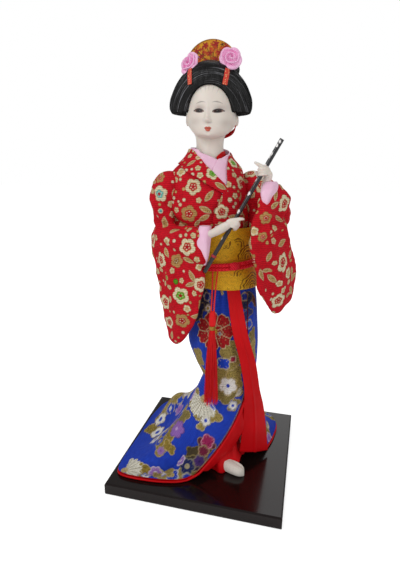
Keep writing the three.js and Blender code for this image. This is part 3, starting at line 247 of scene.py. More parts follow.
def tube(points, radii, flatten=1.0):
    """place(u, v) for cloth(): a bar with round ends along a line, its radius read from a list."""
    line, length = along(points)
    radius = track([[i / (len(radii) - 1), r] for i, r in enumerate(radii)])

    def place(u, v):
        share = eased(v)
        middle = line(share * length)
        ahead = line((share + 0.01) * length) - line((share - 0.01) * length)
        ahead /= np.linalg.norm(ahead, axis=-1, keepdims=True)
        side = np.cross(ahead, np.array([0.31, 0.29, 0.9]))
        side /= np.linalg.norm(side, axis=-1, keepdims=True)
        lift = np.cross(ahead, side)
        reach = radius(share)[..., 0]
        room = unit(np.minimum(share, 1 - share) * length / reach)
        cap = np.sqrt(unit(1 - (1 - room) ** 2))
        turn = math.tau * u
        out = (reach * cap)[..., None] * (np.cos(turn)[..., None] * side + flatten * np.sin(turn)[..., None] * lift)
        return np.moveaxis(middle + out, -1, 0)
    return place


def place_on(tree):
    """Where a point is on the piece, in metres."""
    return add(tree, "TexCoord").outputs["Object"]


def flat_place(tree):
    """Where a point is on the cloth before it was sewn, in metres."""
    return add(tree, "UVMap", uv_map="cloth").outputs[0]


def stretched(tree, scale, on=None):
    """A place drawn out along the axes with the smaller scale, for long fibres."""
    return add(tree, "Mapping", {"Vector": on or place_on(tree), "Scale": scale}).outputs[0]


def noise(tree, scale, detail=2, on=None, **more):
    """Noise from 0 to 1, in patches of about 1 / scale metres."""
    return add(tree, "TexNoise", {"Vector": on or place_on(tree), "Scale": scale, "Detail": detail,
                                  **more}).outputs["Fac"]


def wave(tree, scale, way="DIAGONAL", on=None, **more):
    """Bands from 0 to 1, for threads and ribs."""
    return add(tree, "TexWave", {"Vector": on or place_on(tree), "Scale": scale, **more},
               bands_direction=way).outputs["Fac"]


def blend(tree, share, low, high):
    """A colour between two, each a hex colour or another node's output."""
    low, high = (tone(end) if isinstance(end, str) else end for end in (low, high))
    return add(tree, "Mix", {0: share, 6: low, 7: high}, data_type="RGBA").outputs[2]


def ranged(tree, value, low, high, start=0.0, end=1.0):
    """Takes a value from the range start to end over to the range low to high."""
    return add(tree, "MapRange", {"Value": value, "From Min": start, "From Max": end,
                                  "To Min": low, "To Max": high}).outputs[0]


def maths(tree, operation, *values):
    return add(tree, "Math", dict(enumerate(values)), operation=operation).outputs[0]


def scaled(tree, colour, factor):
    return add(tree, "VectorMath", {0: colour, "Scale": factor}, operation="SCALE").outputs[0]


def relief(tree, height, depth, strength, under=None):
    """Relief of a depth in metres, on top of another relief where under is one."""
    below = {"Normal": under} if under else {}
    return add(tree, "Bump", {"Height": height, "Distance": depth, "Strength": strength, **below}).outputs[0]


def two_tone(name, pattern, low, high, depth=0.0, strength=0.0, **values):
    """A finish between two colours by one pattern(tree), which is its relief too where depth is given."""
    material, tree, shader = finish_named(name, **values)
    share = pattern(tree)
    join(shader, {"Base Color": blend(tree, share, low, high)})
    if depth:
        join(shader, {"Normal": relief(tree, share, depth, strength)})
    return material


# Silk cord: glossy viscose braid; its strands are drawn 0.9 mm apart, coarser than the real ones, to show.
cord_red = two_tone("braided_silk_cord", lambda tree: wave(tree, 340, on=flat_place(tree), Distortion=0.6),
                    "#dc1426", "#ff3242", 0.0003, 0.8, roughness=0.5, specular_ior_level=0.1)

chest = track([
    [145.5, 10.9, 0, 19.6, 19.8, 16.4, 16.4], [166, 9, 0, 19.4, 19.2, 16.4, 16],
    [182, 7.2, 0, 20.4, 18.8, 16.8, 15.8], [188, 6.2, 0, 27.6, 18.8, 17.2, 15.8],
    [196, 4.6, 0, 33, 20.2, 18.6, 16.6], [208, 1.5, 0.3, 32, 21.6, 19.8, 17],
    [217, -1.6, 0.6, 29, 22.8, 19.4, 16.8], [223, -3.4, 1, 26.6, 22.6, 17.8, 15.8],
    [228, -4, 1.4, 21.6, 18.6, 16, 15], [232, -4, 2, 16.6, 14.2, 14.2, 14.2],
    [235.4, -4, 2.2, 13.8, 12.4, 12.8, 13.2], [240, -4, 2.4, 12.2, 11.6, 11.4, 13]])
body_turn = 32
cord_lift = 2.6
cord_radius = 1.35


def sash_cord(u, v, rise):
    around = -math.tau * u
    z = 163 + 1.6 * np.sin(around)
    turn = math.tau * v
    x, y = oval(chest(z), around, body_turn, cord_lift + cord_radius + cord_radius * np.cos(turn))
    return x, y, z + rise + cord_radius * np.sin(turn)


for name, rise in (("obi_cord_upper", cord_radius), ("obi_cord_lower", -cord_radius)):
    band = cloth(name, 150, 12, lambda u, v, rise=rise: sash_cord(u, v, rise), (125, 8.5), cord_red, closed=True)
    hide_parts("obi_cord")

knot_z = 163.4
knot_x, knot_y = (float(c) for c in oval(chest(knot_z), math.radians(-5), body_turn, cord_lift + 3.0))
bm = bmesh.new()
for tilt, reach in ((0.5, 1.0), (-0.5, 1.0), (0.0, 0.86)):
    lump = bmesh.ops.create_uvsphere(bm, u_segments=28, v_segments=16, radius=mm, calc_uvs=False)["verts"]
    bmesh.ops.scale(bm, verts=lump, vec=(4.1 * reach, 1.7 + (1 - reach) * 3, 1.9 if tilt else 2.9))
    bmesh.ops.rotate(bm, verts=lump, cent=(0, 0, 0), matrix=Matrix.Rotation(tilt, 3, "Y"))
bmesh.ops.rotate(bm, verts=bm.verts, cent=(0, 0, 0), matrix=Matrix.Rotation(math.radians(body_turn + 5), 3, "Z"))
bmesh.ops.translate(bm, verts=bm.verts, vec=(knot_x * mm, knot_y * mm, 0.1634))
# The knot is woven of the same silk, its strands running every way.
knot_red = two_tone("knotted_silk_cord", lambda tree: wave(tree, 330, Distortion=3, Detail=1),
                    "#d41428", "#ff3648", 0.0004, 0.9, roughness=0.5, specular_ior_level=0.1)
knot = link("obi_knot_woven", meshed(bm, "obi_knot"), knot_red)
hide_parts("obi_knot")

# Tassel silk: hair-fine viscose threads that gleam along their length.
silk = two_tone("tassel_silk", lambda tree: noise(tree, 1, 2, stretched(tree, (2600, 2600, 60))),
                "#d00a16", "#ff3436", 0.0003, 0.8, roughness=0.5, specular_ior_level=0.1)

tassel_x, tassel_top, tie_top, tie_bottom = 6.2, 133.4, 122.6, 119.8


def turned(name, profile, material, middle, sides=40, folds=0.0, count=26):
    """A turned form round an upright line at middle, with shallow flutes where threads are bundled."""
    outline = track([[i, *p] for i, p in enumerate(profile)])

    def place(u, v):
        radius, z = np.moveaxis(outline(v * (len(profile) - 1)), -1, 0)
        around = math.tau * u
        radius = radius * (1 + folds * np.cos(count * around))
        return middle[0] + radius * np.cos(around), middle[1] + radius * np.sin(around), z
    return cloth(name, sides, 8 * len(profile), place, (12, 12), material, closed=True)


head = turned("tassel_head_bound",
              [(0.05, tie_top), (1.9, tie_top + 0.2), (2.3, 126), (2.1, 130), (1.6, 132.8), (0.05, tassel_top)],
              silk, (tassel_x, -27), 80, 0.05, 22)
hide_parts("tassel_head")
# Gold thread, wound round the tassel's neck in close turns.
gilt = two_tone("gold_thread", lambda tree: wave(tree, 700, "Z"), "#8a5c1c", "#e0b850", 0.0002, 0.8,
                base_color=tone("#c79a3a"), roughness=0.35, metallic=0.6)
tie = turned("tassel_tie_wound",
             [(0.05, tie_bottom), (1.9, tie_bottom + 0.1), (2.35, 121.2), (1.9, tie_top - 0.1), (0.05, tie_top)],
             gilt, (tassel_x, -27))
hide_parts("tassel_tie")

dice = random.Random(11)
bm = bmesh.new()
core = bmesh.ops.create_cone(bm, segments=24, radius1=0.0026, radius2=0.0014, depth=0.046)["verts"]
bmesh.ops.translate(bm, verts=core, vec=(tassel_x * mm, -0.0273, 0.0965))
for strand in range(230):
    around = dice.uniform(0, math.tau)
    share = math.sqrt(dice.uniform(0.25, 1))
    foot = 5.3 * share * dice.uniform(0.8, 1.06)
    end = 64.8 + dice.uniform(-1.4, 2.2) + 1.2 * (1 - share)
    drift = dice.uniform(-0.25, 0.25)
    waist = dice.uniform(2.6, 3.2)
    thread = bmesh.ops.create_grid(bm, x_segments=3, y_segments=10, size=0.5)["verts"]
    for vert in thread:
        turn, fall = math.tau * (vert.co.x + 0.5), vert.co.y + 0.5
        z = tie_bottom - 0.2 - fall * (tie_bottom - end)
        widening = 1.7 + (waist - 1.7) * math.sin(min(1, fall * 1.6) * math.pi / 2)
        radius = widening * share * (1 - fall) + foot * fall
        swing = around + drift * fall
        thick = 0.17 * (1 - 0.5 * fall)
        vert.co = Vector((tassel_x + radius * math.cos(swing) + thick * math.cos(turn),
                          -27.1 - 0.3 * fall + radius * math.sin(swing) + thick * math.sin(turn), z)) * mm
bmesh.ops.remove_doubles(bm, verts=bm.verts, dist=1e-6)
threads = link("tassel_threads", meshed(bm, "tassel_threads"), silk)
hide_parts("tassel_skirt")

# Twisted silk: the two thin cords from the knot to the tassel.
cord_silk = two_tone("twisted_silk_cord", lambda tree: wave(tree, 420), "#d0181c", "#ff5040",
                     roughness=0.5, specular_ior_level=0.1)
route_steps = 31
for name, side in (("tassel_cord_a", -1), ("tassel_cord_b", 1)):
    route, length = along([(tassel_x + side * out, y, z) for out, y, z in (
        (1.7, -21.2, 159.22), (1.5, -22.2, 155.4), (1.1, -24.4, 147), (0.95, -26.2, 138.6), (0.95, -26.9, 133.5),
        (0.6, -27, 127), (0.5, -27, 121.4))])
    curve = bpy.data.curves.new(name + "_silk", "CURVE")
    curve.dimensions = "3D"
    curve.bevel_depth = 0.00055
    curve.bevel_resolution = 3
    curve.use_fill_caps = True
    spline = curve.splines.new("POLY")
    spline.points.add(route_steps)
    for i, dot in enumerate(spline.points):
        dot.co = (*(route(length * i / route_steps) * mm), 1)
    thin = link(name + "_silk", curve, cord_silk)
    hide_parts(name)
    route(0) * mm


# Board: turned-edge wood under black lacquer, rubbed to a gloss, so it mirrors the doll and the room.
def refinish(node, material):
    """Gives a solid that stays from the CAD its own finish."""
    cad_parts[node].data.materials.clear()
    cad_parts[node].data.materials.append(material)


lacquer, tree, shader = finish_named("black_lacquer_on_wood", roughness=0.16, specular_ior_level=0.35,
                                     coat_weight=0.12, coat_roughness=0.06)
cloud = noise(tree, 30, 3)
join(shader, {"Base Color": blend(tree, cloud, "#120808", "#1a100e"),
              "Roughness": ranged(tree, cloud, 0.12, 0.2, 0.3, 0.7),
              "Normal": relief(tree, noise(tree, 900), 0.00002, 0.25)})
refinish("base_board", lacquer)

# Legs and arms are bent steel wire and the neck turns on a beech peg; all of them are inside the doll.
steel, tree, shader = finish_named("drawn_steel_wire", base_color=tone("#8a8c8e"), metallic=1.0)
join(shader, {"Roughness": ranged(tree, noise(tree, 600, 3), 0.25, 0.5)})
beech = two_tone("turned_beech", lambda tree: noise(tree, 1, 3, stretched(tree, (900, 900, 60))),
                 "#9c7846", "#c8a476", roughness=0.6)
for wire in ("right_leg_wire", "left_leg_wire", "right_arm_wire", "left_arm_wire"):
    refinish(wire, steel)
refinish("neck_peg", beech)


# Padding: cotton wadding wound with thread, which gives the body its shape under the clothes.
def drawn_in(row, x, y, z, share):
    """Draws rings in towards their middle, which closes a form at its ends."""
    return row[..., 0] + (x - row[..., 0]) * share, row[..., 1] + (y - row[..., 1]) * share, z


wadding = two_tone("cotton_wadding", lambda tree: noise(tree, 500, 5), "#d8d0c0", "#f2ede2", 0.0006, 0.7,
                   roughness=0.95, sheen_weight=0.3)
hip_rows = [[68, 14.8, -1, 17.4, 18.6, 18, 17.2], [76, 14.4, -1, 17.6, 19.4, 18.6, 17.6],
            [90, 11.6, -0.5, 21.6, 22.8, 20.6, 20.4], [106, 8.6, 0, 25.6, 25.8, 22.3, 22.8],
            [125, 9.4, 0, 23.6, 23.8, 20, 21], [142, 10.8, 0, 20.4, 20.6, 16.8, 17],
            [156, 10.2, 0, 19.4, 19.6, 16, 16.2]]
hip_turn = 20
for node, form, turn in (("hip_padding", track(hip_rows), hip_turn), ("torso_core", chest, body_turn)):
    low, high = (1000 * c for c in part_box(node))

    def place(u, v, low=low, high=high, form=form, turn=turn):
        share = eased(v)
        z = low.z + 0.4 + (high.z - low.z - 0.8) * share
        shrink = np.sqrt(np.clip(1 - np.abs(2 * share - 1) ** 14, 1e-4, 1))
        row = form(z)
        wrap = 0.12 * np.cos(z * 2.1) - 3.4
        x, y = oval(row, math.tau * u, turn, wrap)
        return drawn_in(row, x, y, z, shrink)
    pad = cloth(node + "_wound", 64, 80, place, (120, 60), wadding, closed=True)
    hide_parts(node)

# Feet: turned wooden feet in white cotton split-toe socks, with a groove beside the big toe
# and a seam down the middle of the sole. The doll's left foot is hidden under the skirt.
sock = two_tone("bleached_cotton_sock", lambda tree: noise(tree, 900, 3), "#cfc6ba", "#ece6dc", 0.00015, 0.5,
                roughness=0.85, sheen_weight=0.25)
foot_rows = track([[0, 3.2, 8.4], [0.12, 4.4, 9.6], [0.35, 4.3, 9.2], [0.6, 4.8, 8.2], [0.8, 5, 7.2],
                   [0.93, 4.2, 6.2], [1, 2.4, 4.6]])


def foot(u, v, heel, yaw):
    share = eased(v)
    width, height = np.moveaxis(foot_rows(share), -1, 0)
    tip = np.sqrt(unit(1 - np.abs(2 * share - 1) ** 9))
    turn = math.tau * u
    across = np.sign(np.cos(turn)) * np.abs(np.cos(turn)) ** 0.75 * width * tip
    rise = np.clip(0.5 + 0.62 * np.sin(turn), 0, None) / 1.12 * height * (0.55 + 0.45 * tip)
    groove = bump(across, 1.3, 0.5) * unit((share - 0.66) * 6)
    rise = rise * (1 - 0.42 * groove)
    length = (share - 0.13) * 30 - 1.6 * groove * unit((share - 0.9) * 8)
    c, s = cos_sin(yaw)
    return heel[0] + length * c - across * s, heel[1] + length * s + across * c, 9.3 + rise


for name, heel, yaw in (("right_foot", (7.6, -21.6), -17), ("left_foot", (2, 6), 4)):
    shoe = cloth(name + "_sock", 72, 60, lambda u, v, heel=heel, yaw=yaw: foot(u, v, heel, yaw), (30, 30), sock,
                 closed=True)
    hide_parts(name)


# Red satin: the underskirt, the facing of the skirt's opening, its lining and the long front strip.
# Acetate satin, close-woven and smooth: a soft broad gleam and shallow creases, no visible thread.
satin, tree, shader = finish_named("red_acetate_satin", roughness=0.5, specular_ior_level=0.12)
drift = noise(tree, 45)
weave = relief(tree, noise(tree, 1500, 1), 0.00006, 0.5, relief(tree, drift, 0.0012, 0.35))
join(shader, {"Base Color": blend(tree, drift, "#b4040a", "#dc0c16"), "Normal": weave})

under_rows = track([[9.3, 13, -7.6, 19, 15.6, 22.6, 17], [16, 12.4, -6.8, 17.6, 12.8, 22.4, 16],
                    [25, 12.2, -5, 15.4, 11.8, 18, 14.6], [40, 12.6, -3.4, 14, 12.2, 13.8, 13.6],
                    [60, 13.8, -1.6, 13.8, 13.4, 14, 13.4], [76, 14.2, -1, 14, 14.2, 14.4, 14],
                    [90, 11.6, -0.5, 17.4, 17.8, 16.8, 16.4]])


def underskirt(u, v):
    z = 9.4 + 74.6 * v
    around = math.tau * (u - 0.5)
    folds = 1.1 * np.cos(7 * around + 0.6) * bump(z, 9, 22) + 0.35 * np.cos(15 * around + 0.12 * z)
    x, y = oval(under_rows(z), around, 10, folds - 0.1)
    rise = 6 * bump(around, math.radians(54), 0.42) * np.clip(1 - (z - 9) / 28, 0, None)
    return x, y, z + rise


under = cloth("underskirt_satin", 150, 70, underskirt, (108, 76), satin, closed=True, wall=0.5)
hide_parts("underskirt")

# Skirt: brocade, wrapped round the hips and let down behind into a train that spreads on the board.
# One piece of blue viscose brocade with woven flowers and gold clouds, faced with red inside.
# The skirt follows the padding, but stands off it on one side below the hips.
wider = {76: 19.4, 90: 23.2}
hip = track([[*row[:3], wider.get(row[0], row[3]), *row[4:]] for row in hip_rows])
waist_z, hip_z, hip_drop = 145.2, 76, 0.44
hem = track([[0, -3, -43], [0.08, -13.5, -49], [0.17, -33, -52.5], [0.245, -55, -51.5], [0.285, -59, -43],
             [0.38, -58.6, -8], [0.47, -57.6, 28], [0.54, -50, 52], [0.62, -20, 58], [0.7, 12, 58],
             [0.77, 40, 55], [0.82, 49.5, 42], [0.9, 49, 22], [1, 45.6, 7]])
fall = track([[0, 1.05], [0.06, 1.3], [0.12, 1.9], [0.2, 2.3], [0.3, 2.1], [0.42, 2.3], [0.5, 2.2],
              [0.66, 2.1], [0.8, 2.1], [0.92, 1.8], [1, 1.3]])


def skirt(u, v, inset=0.0):
    """u from the opening round the back, v from the hem to the waist."""
    drop = 1 - v
    around = np.radians(34 - 358 * u)
    z = np.where(drop < hip_drop, waist_z - 69.2 * drop / hip_drop, hip_z)
    folds = 0.5 * np.cos(9 * around) * bump(z, 95, 24) + 0.35 * np.sin(23 * around + z * 0.1) * bump(z, 138, 14)
    x, y = oval(hip(z), around, hip_turn, folds - inset)
    share = unit((drop - hip_drop) / 0.56)
    hx, hy = np.moveaxis(hem(u), -1, 0)
    low = mix(hip_z, 12.3, 1 - (1 - share) ** fall(u)[..., 0])
    reach = unit(np.sin(math.pi * np.minimum(1, share * 1.05))) ** 1.2
    lift = (-8.5 * bump(u, 0.2, 0.02) - 2.5 * bump(u, 0.17, 0.05) + 1.5 * bump(u, 0.29, 0.06) + 2.4 * bump(u, 0.11,
        0.035)
            + 9 * bump(u, 0.5, 0.045) - 0.6 * bump(u, 0.4, 0.04) + 2.6 * np.cos(u * 46) * bump(u, 0.72, 0.16))
    shoulder = 15 * bump(u, 0.5, 0.07) * bump(share, 0.8, 0.24)
    ripple = 0.45 * np.sin(u * 95 + 3 * share) * reach * bump(share, 0.6, 0.4)
    bow = 6.6 * np.sin(math.pi * share) ** 0.9 * bump(u, 0, 0.075)
    return (mix(x, hx, share) + bow, mix(y, hy, share) + 0.15 * bow,
            np.where(drop < hip_drop, z, low + (lift + shoulder) * reach + ripple - inset * unit(share * 3)))


def crowd(u, dense):
    """Moves a grid's columns together where more detail shows."""
    return np.interp(u, *zip(*dense))


def off_middle(tree, value):
    """How far noise is from its middle: near 0 in thin loops, which look like scribbled thread."""
    return maths(tree, "ABSOLUTE", maths(tree, "SUBTRACT", value, 0.5))


def motif(tree, output):
    """The colour or the cover (Alpha) of the motifs, which keep_ink() puts on the points."""
    return add(tree, "Attribute", attribute_name="motif").outputs[output]


def with_motifs(tree, ground):
    return blend(tree, motif(tree, "Alpha"), ground, motif(tree, "Color"))


brocade, tree, shader = finish_named("blue_viscose_brocade", roughness=0.62, specular_ior_level=0.15)
lies = flat_place(tree)
blue = blend(tree, noise(tree, 260, 3, lies), "#1630a0", "#244ccc")
# gold thread is woven in scribbled loops about 1.5 mm across, and white thread hardly at all
loops = off_middle(tree, noise(tree, 520, 2, lies, Distortion=1.6))
part = add(tree, "SeparateColor", {0: motif(tree, "Color")})
warm = maths(tree, "SUBTRACT", part.outputs["Red"], part.outputs["Blue"])
loss = maths(tree, "MULTIPLY", ranged(tree, loops, 1, 0, 0.03, 0.07), ranged(tree, warm, 0.1, 0.7, 0, 0.25))
worked = scaled(tree, motif(tree, "Color"), maths(tree, "SUBTRACT", 1.12, loss))
thread = blend(tree, motif(tree, "Alpha"), blue, worked)
weft = wave(tree, 300, "Y", lies, Distortion=1.2, Detail=1)
join(shader, {"Base Color": scaled(tree, thread, ranged(tree, weft, 0.78, 1.08)),
              "Normal": relief(tree, motif(tree, "Alpha"), 0.0002, 0.6, relief(tree, weft, 0.00025, 0.55))})

facing = [(0, 0), (0.07, 0.085), (0.62, 0.34), (0.78, 0.62), (1, 1)]
outer = cloth("skirt_brocade", 420, 225, lambda u, v: skirt(crowd(1 - u, facing), v), (240, 150), brocade)
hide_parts("skirt")
inside = cloth("skirt_red_lining", 160, 70, lambda u, v: skirt(u, v * 0.985, 1.0), (240, 146), satin)

# Motifs: woven in coloured thread, each one drawn flat on the cloth where it sits. Some are given darker colours as
# painted shade, where a fold or the sleeve shades the skirt.


toward, rightward, upright_way = (np.array(way) for way in (back, right, above))


def surface(thing):
    """The points of a mesh in mm, their normals, and room for a colour and its cover."""
    co, out = vertices(thing.data) * 1000, vertices(thing.data, "normal")
    return {"co": co, "out": out, "ink": np.zeros((len(co), 4))}


def spot_at(ground, x, z):
    """The point of a surface nearest to x and z, on the side that faces the front."""
    far = np.hypot(ground["co"][:, 0] - x, ground["co"][:, 2] - z)
    hidden = ground["out"] @ toward <= 0.05
    return int((far + np.where(hidden, 1000, 0) + 0.02 * ground["co"][:, 1]).argmin())


def flat_on(ground, at, reach, turn=0.0):
    """Which points are near a spot, and where they are on the cloth laid flat there."""
    middle, out = ground["co"][at], ground["out"][at]
    across = np.cross((0, 0, 1), out)
    across = across / max(np.linalg.norm(across), 1e-6)
    up = np.cross(out, across)
    gap = ground["co"] - middle
    close = (np.abs(gap) < reach).all(1) & (np.abs(gap @ out) < 0.6 * reach)
    near = np.flatnonzero(close & (ground["out"] @ out > 0.2))
    s, t, deep = gap[near] @ across, gap[near] @ up, gap[near] @ out
    stretch = np.minimum(np.sqrt(1 + deep * deep / np.maximum(s * s + t * t, 1e-3)), 4)
    s, t = s * stretch, t * stretch
    c, n = math.cos(turn), math.sin(turn)
    return near, s * c + t * n, t * c - s * n


def lay(ground, near, cover, colour):
    """Covers points with thread of one colour, cover being 0 to 1 at each."""
    ink = ground["ink"]
    keep = unit(cover)[:, None]
    ink[near] = ink[near] * (1 - keep) + np.array(tone(colour)) * keep


def inside_of(distance, soft=0.3):
    return unit(0.5 - distance / soft)


def blossom(ground, at, size, turn, petals, fill, line, eye=None, ring=None):
    """A flower with an outline and short spokes, and in some a ring and an eye."""
    near, s, t = flat_on(ground, at, size * 1.25, turn)
    far, around = np.hypot(s, t), np.arctan2(t, s)
    edge = size * (0.76 + 0.24 * np.abs(np.cos(petals / 2 * around)) ** 0.8)
    lay(ground, near, inside_of(far - edge), fill)
    lay(ground, near, inside_of(np.abs(far - edge + 0.42) - 0.42), line)
    spoke = np.abs(np.sin(petals / 2 * around)) * far
    lay(ground, near, inside_of(spoke - 0.22) * inside_of(far - edge) * inside_of(0.5 * size - far), line)
    if ring:
        lay(ground, near, inside_of(far - 0.3 * size), ring)
    if eye:
        lay(ground, near, inside_of(far - 0.6 * 0.3 * size), eye)


def fan(ground, at, size, turn=0.0, petals=16, fill="#dcd4cc", line="#6a5a48", eye="#b4942c", spread=math.pi):
    """Chrysanthemum with long narrow petals, whole or half."""
    near, s, t = flat_on(ground, at, size * 1.1, turn)
    far, around = np.hypot(s, t), np.arctan2(t, s)
    edge = size * (0.84 + 0.16 * np.abs(np.cos(petals / 2 * around)))
    shown = inside_of(far - edge) * (np.abs(around) < spread)
    lay(ground, near, shown, fill)
    rib = np.abs(np.sin(petals / 2 * around)) / petals * 2 * far
    lay(ground, near, shown * inside_of(rib - 0.16) * inside_of(0.22 * size - far), line)
    lay(ground, near, inside_of(far - 0.2 * size), eye)


def leaf(ground, at, size, turn):
    """A pointed leaf with a pale outline and hatched veins."""
    near, s, t = flat_on(ground, at, size * 1.1, turn)
    half = 0.42 * size * unit(1 - (s / size) ** 2) ** 0.8
    lay(ground, near, inside_of(np.abs(t) - half), "#d9c8a0")
    lay(ground, near, inside_of(np.abs(t) - half + 0.5), "#c8a468")
    hatch = np.abs(np.sin((s + np.abs(t)) * 2.6))
    lay(ground, near, inside_of(np.abs(t) - half + 0.6) * inside_of(hatch - 0.35, 0.4), "#6a4a20")


def dot(ground, at, size, colour, ring=None):
    near, s, t = flat_on(ground, at, size * 1.3)
    if ring:
        lay(ground, near, inside_of(np.hypot(s, t) - size), ring)
    lay(ground, near, inside_of(np.hypot(s, t) - size * (0.6 if ring else 1)), colour)


scallops = (0, 0, 0.62), (0.7, 0.12, 0.48), (-0.7, -0.08, 0.5), (0.3, 0.5, 0.42), (-0.3, -0.45, 0.44)


def bank(ground, at, size, colour="#b09a54", line="#c8b07c", turn=0.0):
    """A scalloped cloud of gold thread with a bright outline and fine scribble."""
    near, s, t = flat_on(ground, at, size * 1.7, turn)
    far = np.minimum.reduce([np.hypot(s - dx * size, (t - dt * size) * 1.15) - r * size for dx, dt, r in scallops])
    lay(ground, near, inside_of(far), line)
    lay(ground, near, inside_of(far + 0.6), colour)
    curl = np.sin(s * 3.1 + 1.5 * np.sin(t * 2.3)) * np.sin(t * 3.4 + 1.3 * np.sin(s * 2.1))
    lay(ground, near, inside_of(far + 0.9) * inside_of(np.abs(curl) - 0.12, 0.25) * 0.75, "#5c4e28")


def keep_ink(thing, ground):
    layer = thing.data.color_attributes.new("motif", "FLOAT_COLOR", "POINT")
    layer.data.foreach_set("color", ground["ink"].ravel())


lens_px, middle_px, middle_py = 430, 200, 285


def in_picture(ground, px, py):
    """The front point of a surface that the camera sees at a place in the 400 by 570 frame."""
    away = ground["co"] - np.array(eye) * 1000
    deep = -(away @ toward)
    seen_x = middle_px + lens_px * (away @ rightward) / deep
    seen_y = middle_py - lens_px * (away @ upright_way) / deep
    hidden = np.where(ground["out"] @ toward > 0, 0, 1000)
    return int((np.hypot(seen_x - px, seen_y - py) + 0.01 * deep + hidden).argmin())


def rear_points(ground, facing):
    """The points that face away from the camera by more than facing."""
    return [i for i in range(len(ground["co"])) if ground["out"][i] @ toward < facing]


gilded, dull_gilt, ochre = ("#b09a54", "#c8b07c"), ("#8c7c44", "#c8b07c"), ("#a08838", "#c8b07c")


ground = surface(outer)
# Clouds at places in the 400 by 570 frame. The navy ones at 204,300 and 199,312 are painted shade of the sleeve's
# shadow on the hip; the dark ones at 193,452, 203,455, 188,462, 206,444 and 198,466 are painted shade in a fold.
for px, py, size, colour, line in (
        (204, 300, 6, "#141c48", "#8c7c50"), (199, 312, 6, "#141c48", "#8c7c50"), (247, 300, 6.5, "#141c48", "#7c6c44"),
        (247, 314, 5, "#1a2a70", "#8c7c50"), (254, 300, 4, "#5c1c28", "#a8905c"), (222, 293, 1.6, *gilded),
        (253, 338, 6.4, "#8c7c44", "#b8a060"), (253, 354, 7, *gilded), (199, 357, 7, *gilded),
        (205, 372, 5, *gilded), (231, 357, 7.4, *gilded), (222, 378, 7, *gilded),
        (235, 380, 7, *gilded), (229, 394, 6.6, *dull_gilt), (234, 405, 4.6, *dull_gilt),
        (211, 417, 7, "#b09a54", "#d8c89c"), (203, 424, 5, "#b09a54", "#d8c89c"), (196, 404, 10, "#b09a54", "#d8c89c"),
        (178, 396, 7, *gilded), (169, 402, 7, *gilded), (184, 408, 6, *gilded),
        (181, 419, 6, *dull_gilt), (163, 414, 6, *gilded), (153, 430, 6.5, *ochre),
        (168, 436, 7.6, *ochre), (160, 445, 6.6, *ochre), (169, 447, 5, *ochre),
        (193, 452, 6.4, "#463c28", "#8c7c44"), (203, 455, 6.6, "#3c2430", "#8c7c44"),
        (188, 462, 7, "#3c3428", "#9c8a54"), (206, 444, 6, "#5c1834", "#b8a078"), (198, 466, 6, "#342444", "#8c7c54"),
        (141, 471, 5, "#a08838", "#d8c89c"), (151, 474, 7, "#a08838", "#d8c89c"), (166, 475, 7, "#b09a54", "#d8c89c"),
        (180, 477, 6.4, "#b09a54", "#d8c89c"), (192, 475, 5, *dull_gilt), (269, 415, 7, "#a09040", "#c8b07c"),
        (267, 432, 7, "#a09040", "#c8b07c")):
    large = px < 182 and 395 < py < 440 or px > 218 and 340 < py < 400
    bank(ground, in_picture(ground, px, py), size * (1.4 if large else 1.1), colour, line, turn=px * 0.7)
# The dark flowers at 203.4,451.4, 187,466.4 and 199.4,461.6 have darkened colours as painted shade in the same fold.
for px, py, size, petals, fill, line, ring, centre in (
        (207, 296.4, 3.6, 6, "#1c2c78", "#a89c8c", None, "#1c2c78"),
        (207.7, 308.8, 3.2, 6, "#dcd4cc", "#8c7c5c", "#b4942c", None),
        (223.4, 363.6, 5.6, 4, "#1e44c0", "#d8c890", None, None),
        (232.8, 359.5, 3, 4, "#a82844", "#d8c0a0", None, None),
        (228, 386.4, 7.4, 5, "#eae6e0", "#c8b07c", "#eae6e0", "#1e3cb0"),
        (232.8, 405.6, 3.8, 5, "#e4e0d8", "#8c8c9c", "#2344b4", None),
        (209.6, 408.6, 4.8, 5, "#1e44b8", "#dcdce8", "#c8b07c", None),
        (205.4, 420.4, 4.8, 5, "#e8e4dc", "#9c9484", "#2344b4", "#2344b4"),
        (170.6, 408.2, 4.8, 5, "#1e40b4", "#c8b890", "#d8d4cc", None),
        (179.4, 409.8, 4.6, 5, "#9068b0", "#b8a4c0", None, "#6c4890"),
        (160.8, 419, 5.6, 5, "#e8e4dc", "#b8a888", "#2344b4", None),
        (157.4, 432.2, 5.6, 5, "#e8e4dc", "#b8a888", "#2344b4", None),
        (159.6, 441, 5, 6, "#1e3cb0", "#98906c", "#c8b890", None),
        (176.8, 428.6, 5.6, 6, "#8c60ac", "#6c4890", None, "#b898c8"),
        (161, 450.6, 3.8, 6, "#9068a8", "#a08c70", None, "#6c4890"),
        (180.6, 399.4, 4, 5, "#1e44b8", "#c8b890", None, None),
        (207.4, 441.4, 5.4, 4, "#a8245c", "#d88ca4", None, None),
        (203.4, 451.4, 4.6, 5, "#701c38", "#a8906c", None, None),
        (187, 466.4, 6.2, 6, "#1a2458", "#84806c", "#a89c7c", None),
        (199.4, 461.6, 5, 6, "#442868", "#7c7060", None, "#2c1c50"),
        (155.4, 473.4, 5.4, 6, "#9870b8", "#c8b8cc", "#d8c8dc", None),
        (172.2, 475, 5.2, 6, "#2040b0", "#c8c4c0", "#c8b070", None), (187, 478, 4, 5, "#1e3cb0", "#b0a88c", None, None),
        (271, 413, 4.4, 5, "#1e44b8", "#d8d0b8", "#c8b890", None),
        (267.6, 425, 4.2, 5, "#e4dcc8", "#b8a070", "#b89c4c", None),
        (269, 437, 4.6, 6, "#9870b8", "#c8b8cc", None, "#6c4890"), (245, 297, 3.6, 5, "#1c2c80", "#b0986c", None, None),
        (249, 324, 4, 4, "#2048b8", "#c8b890", None, None)):
    blossom(ground, in_picture(ground, px, py), size * (1.25 if px < 182 and py < 440 else 1.0), 0.4 + px, petals,
            fill, line, centre, ring)
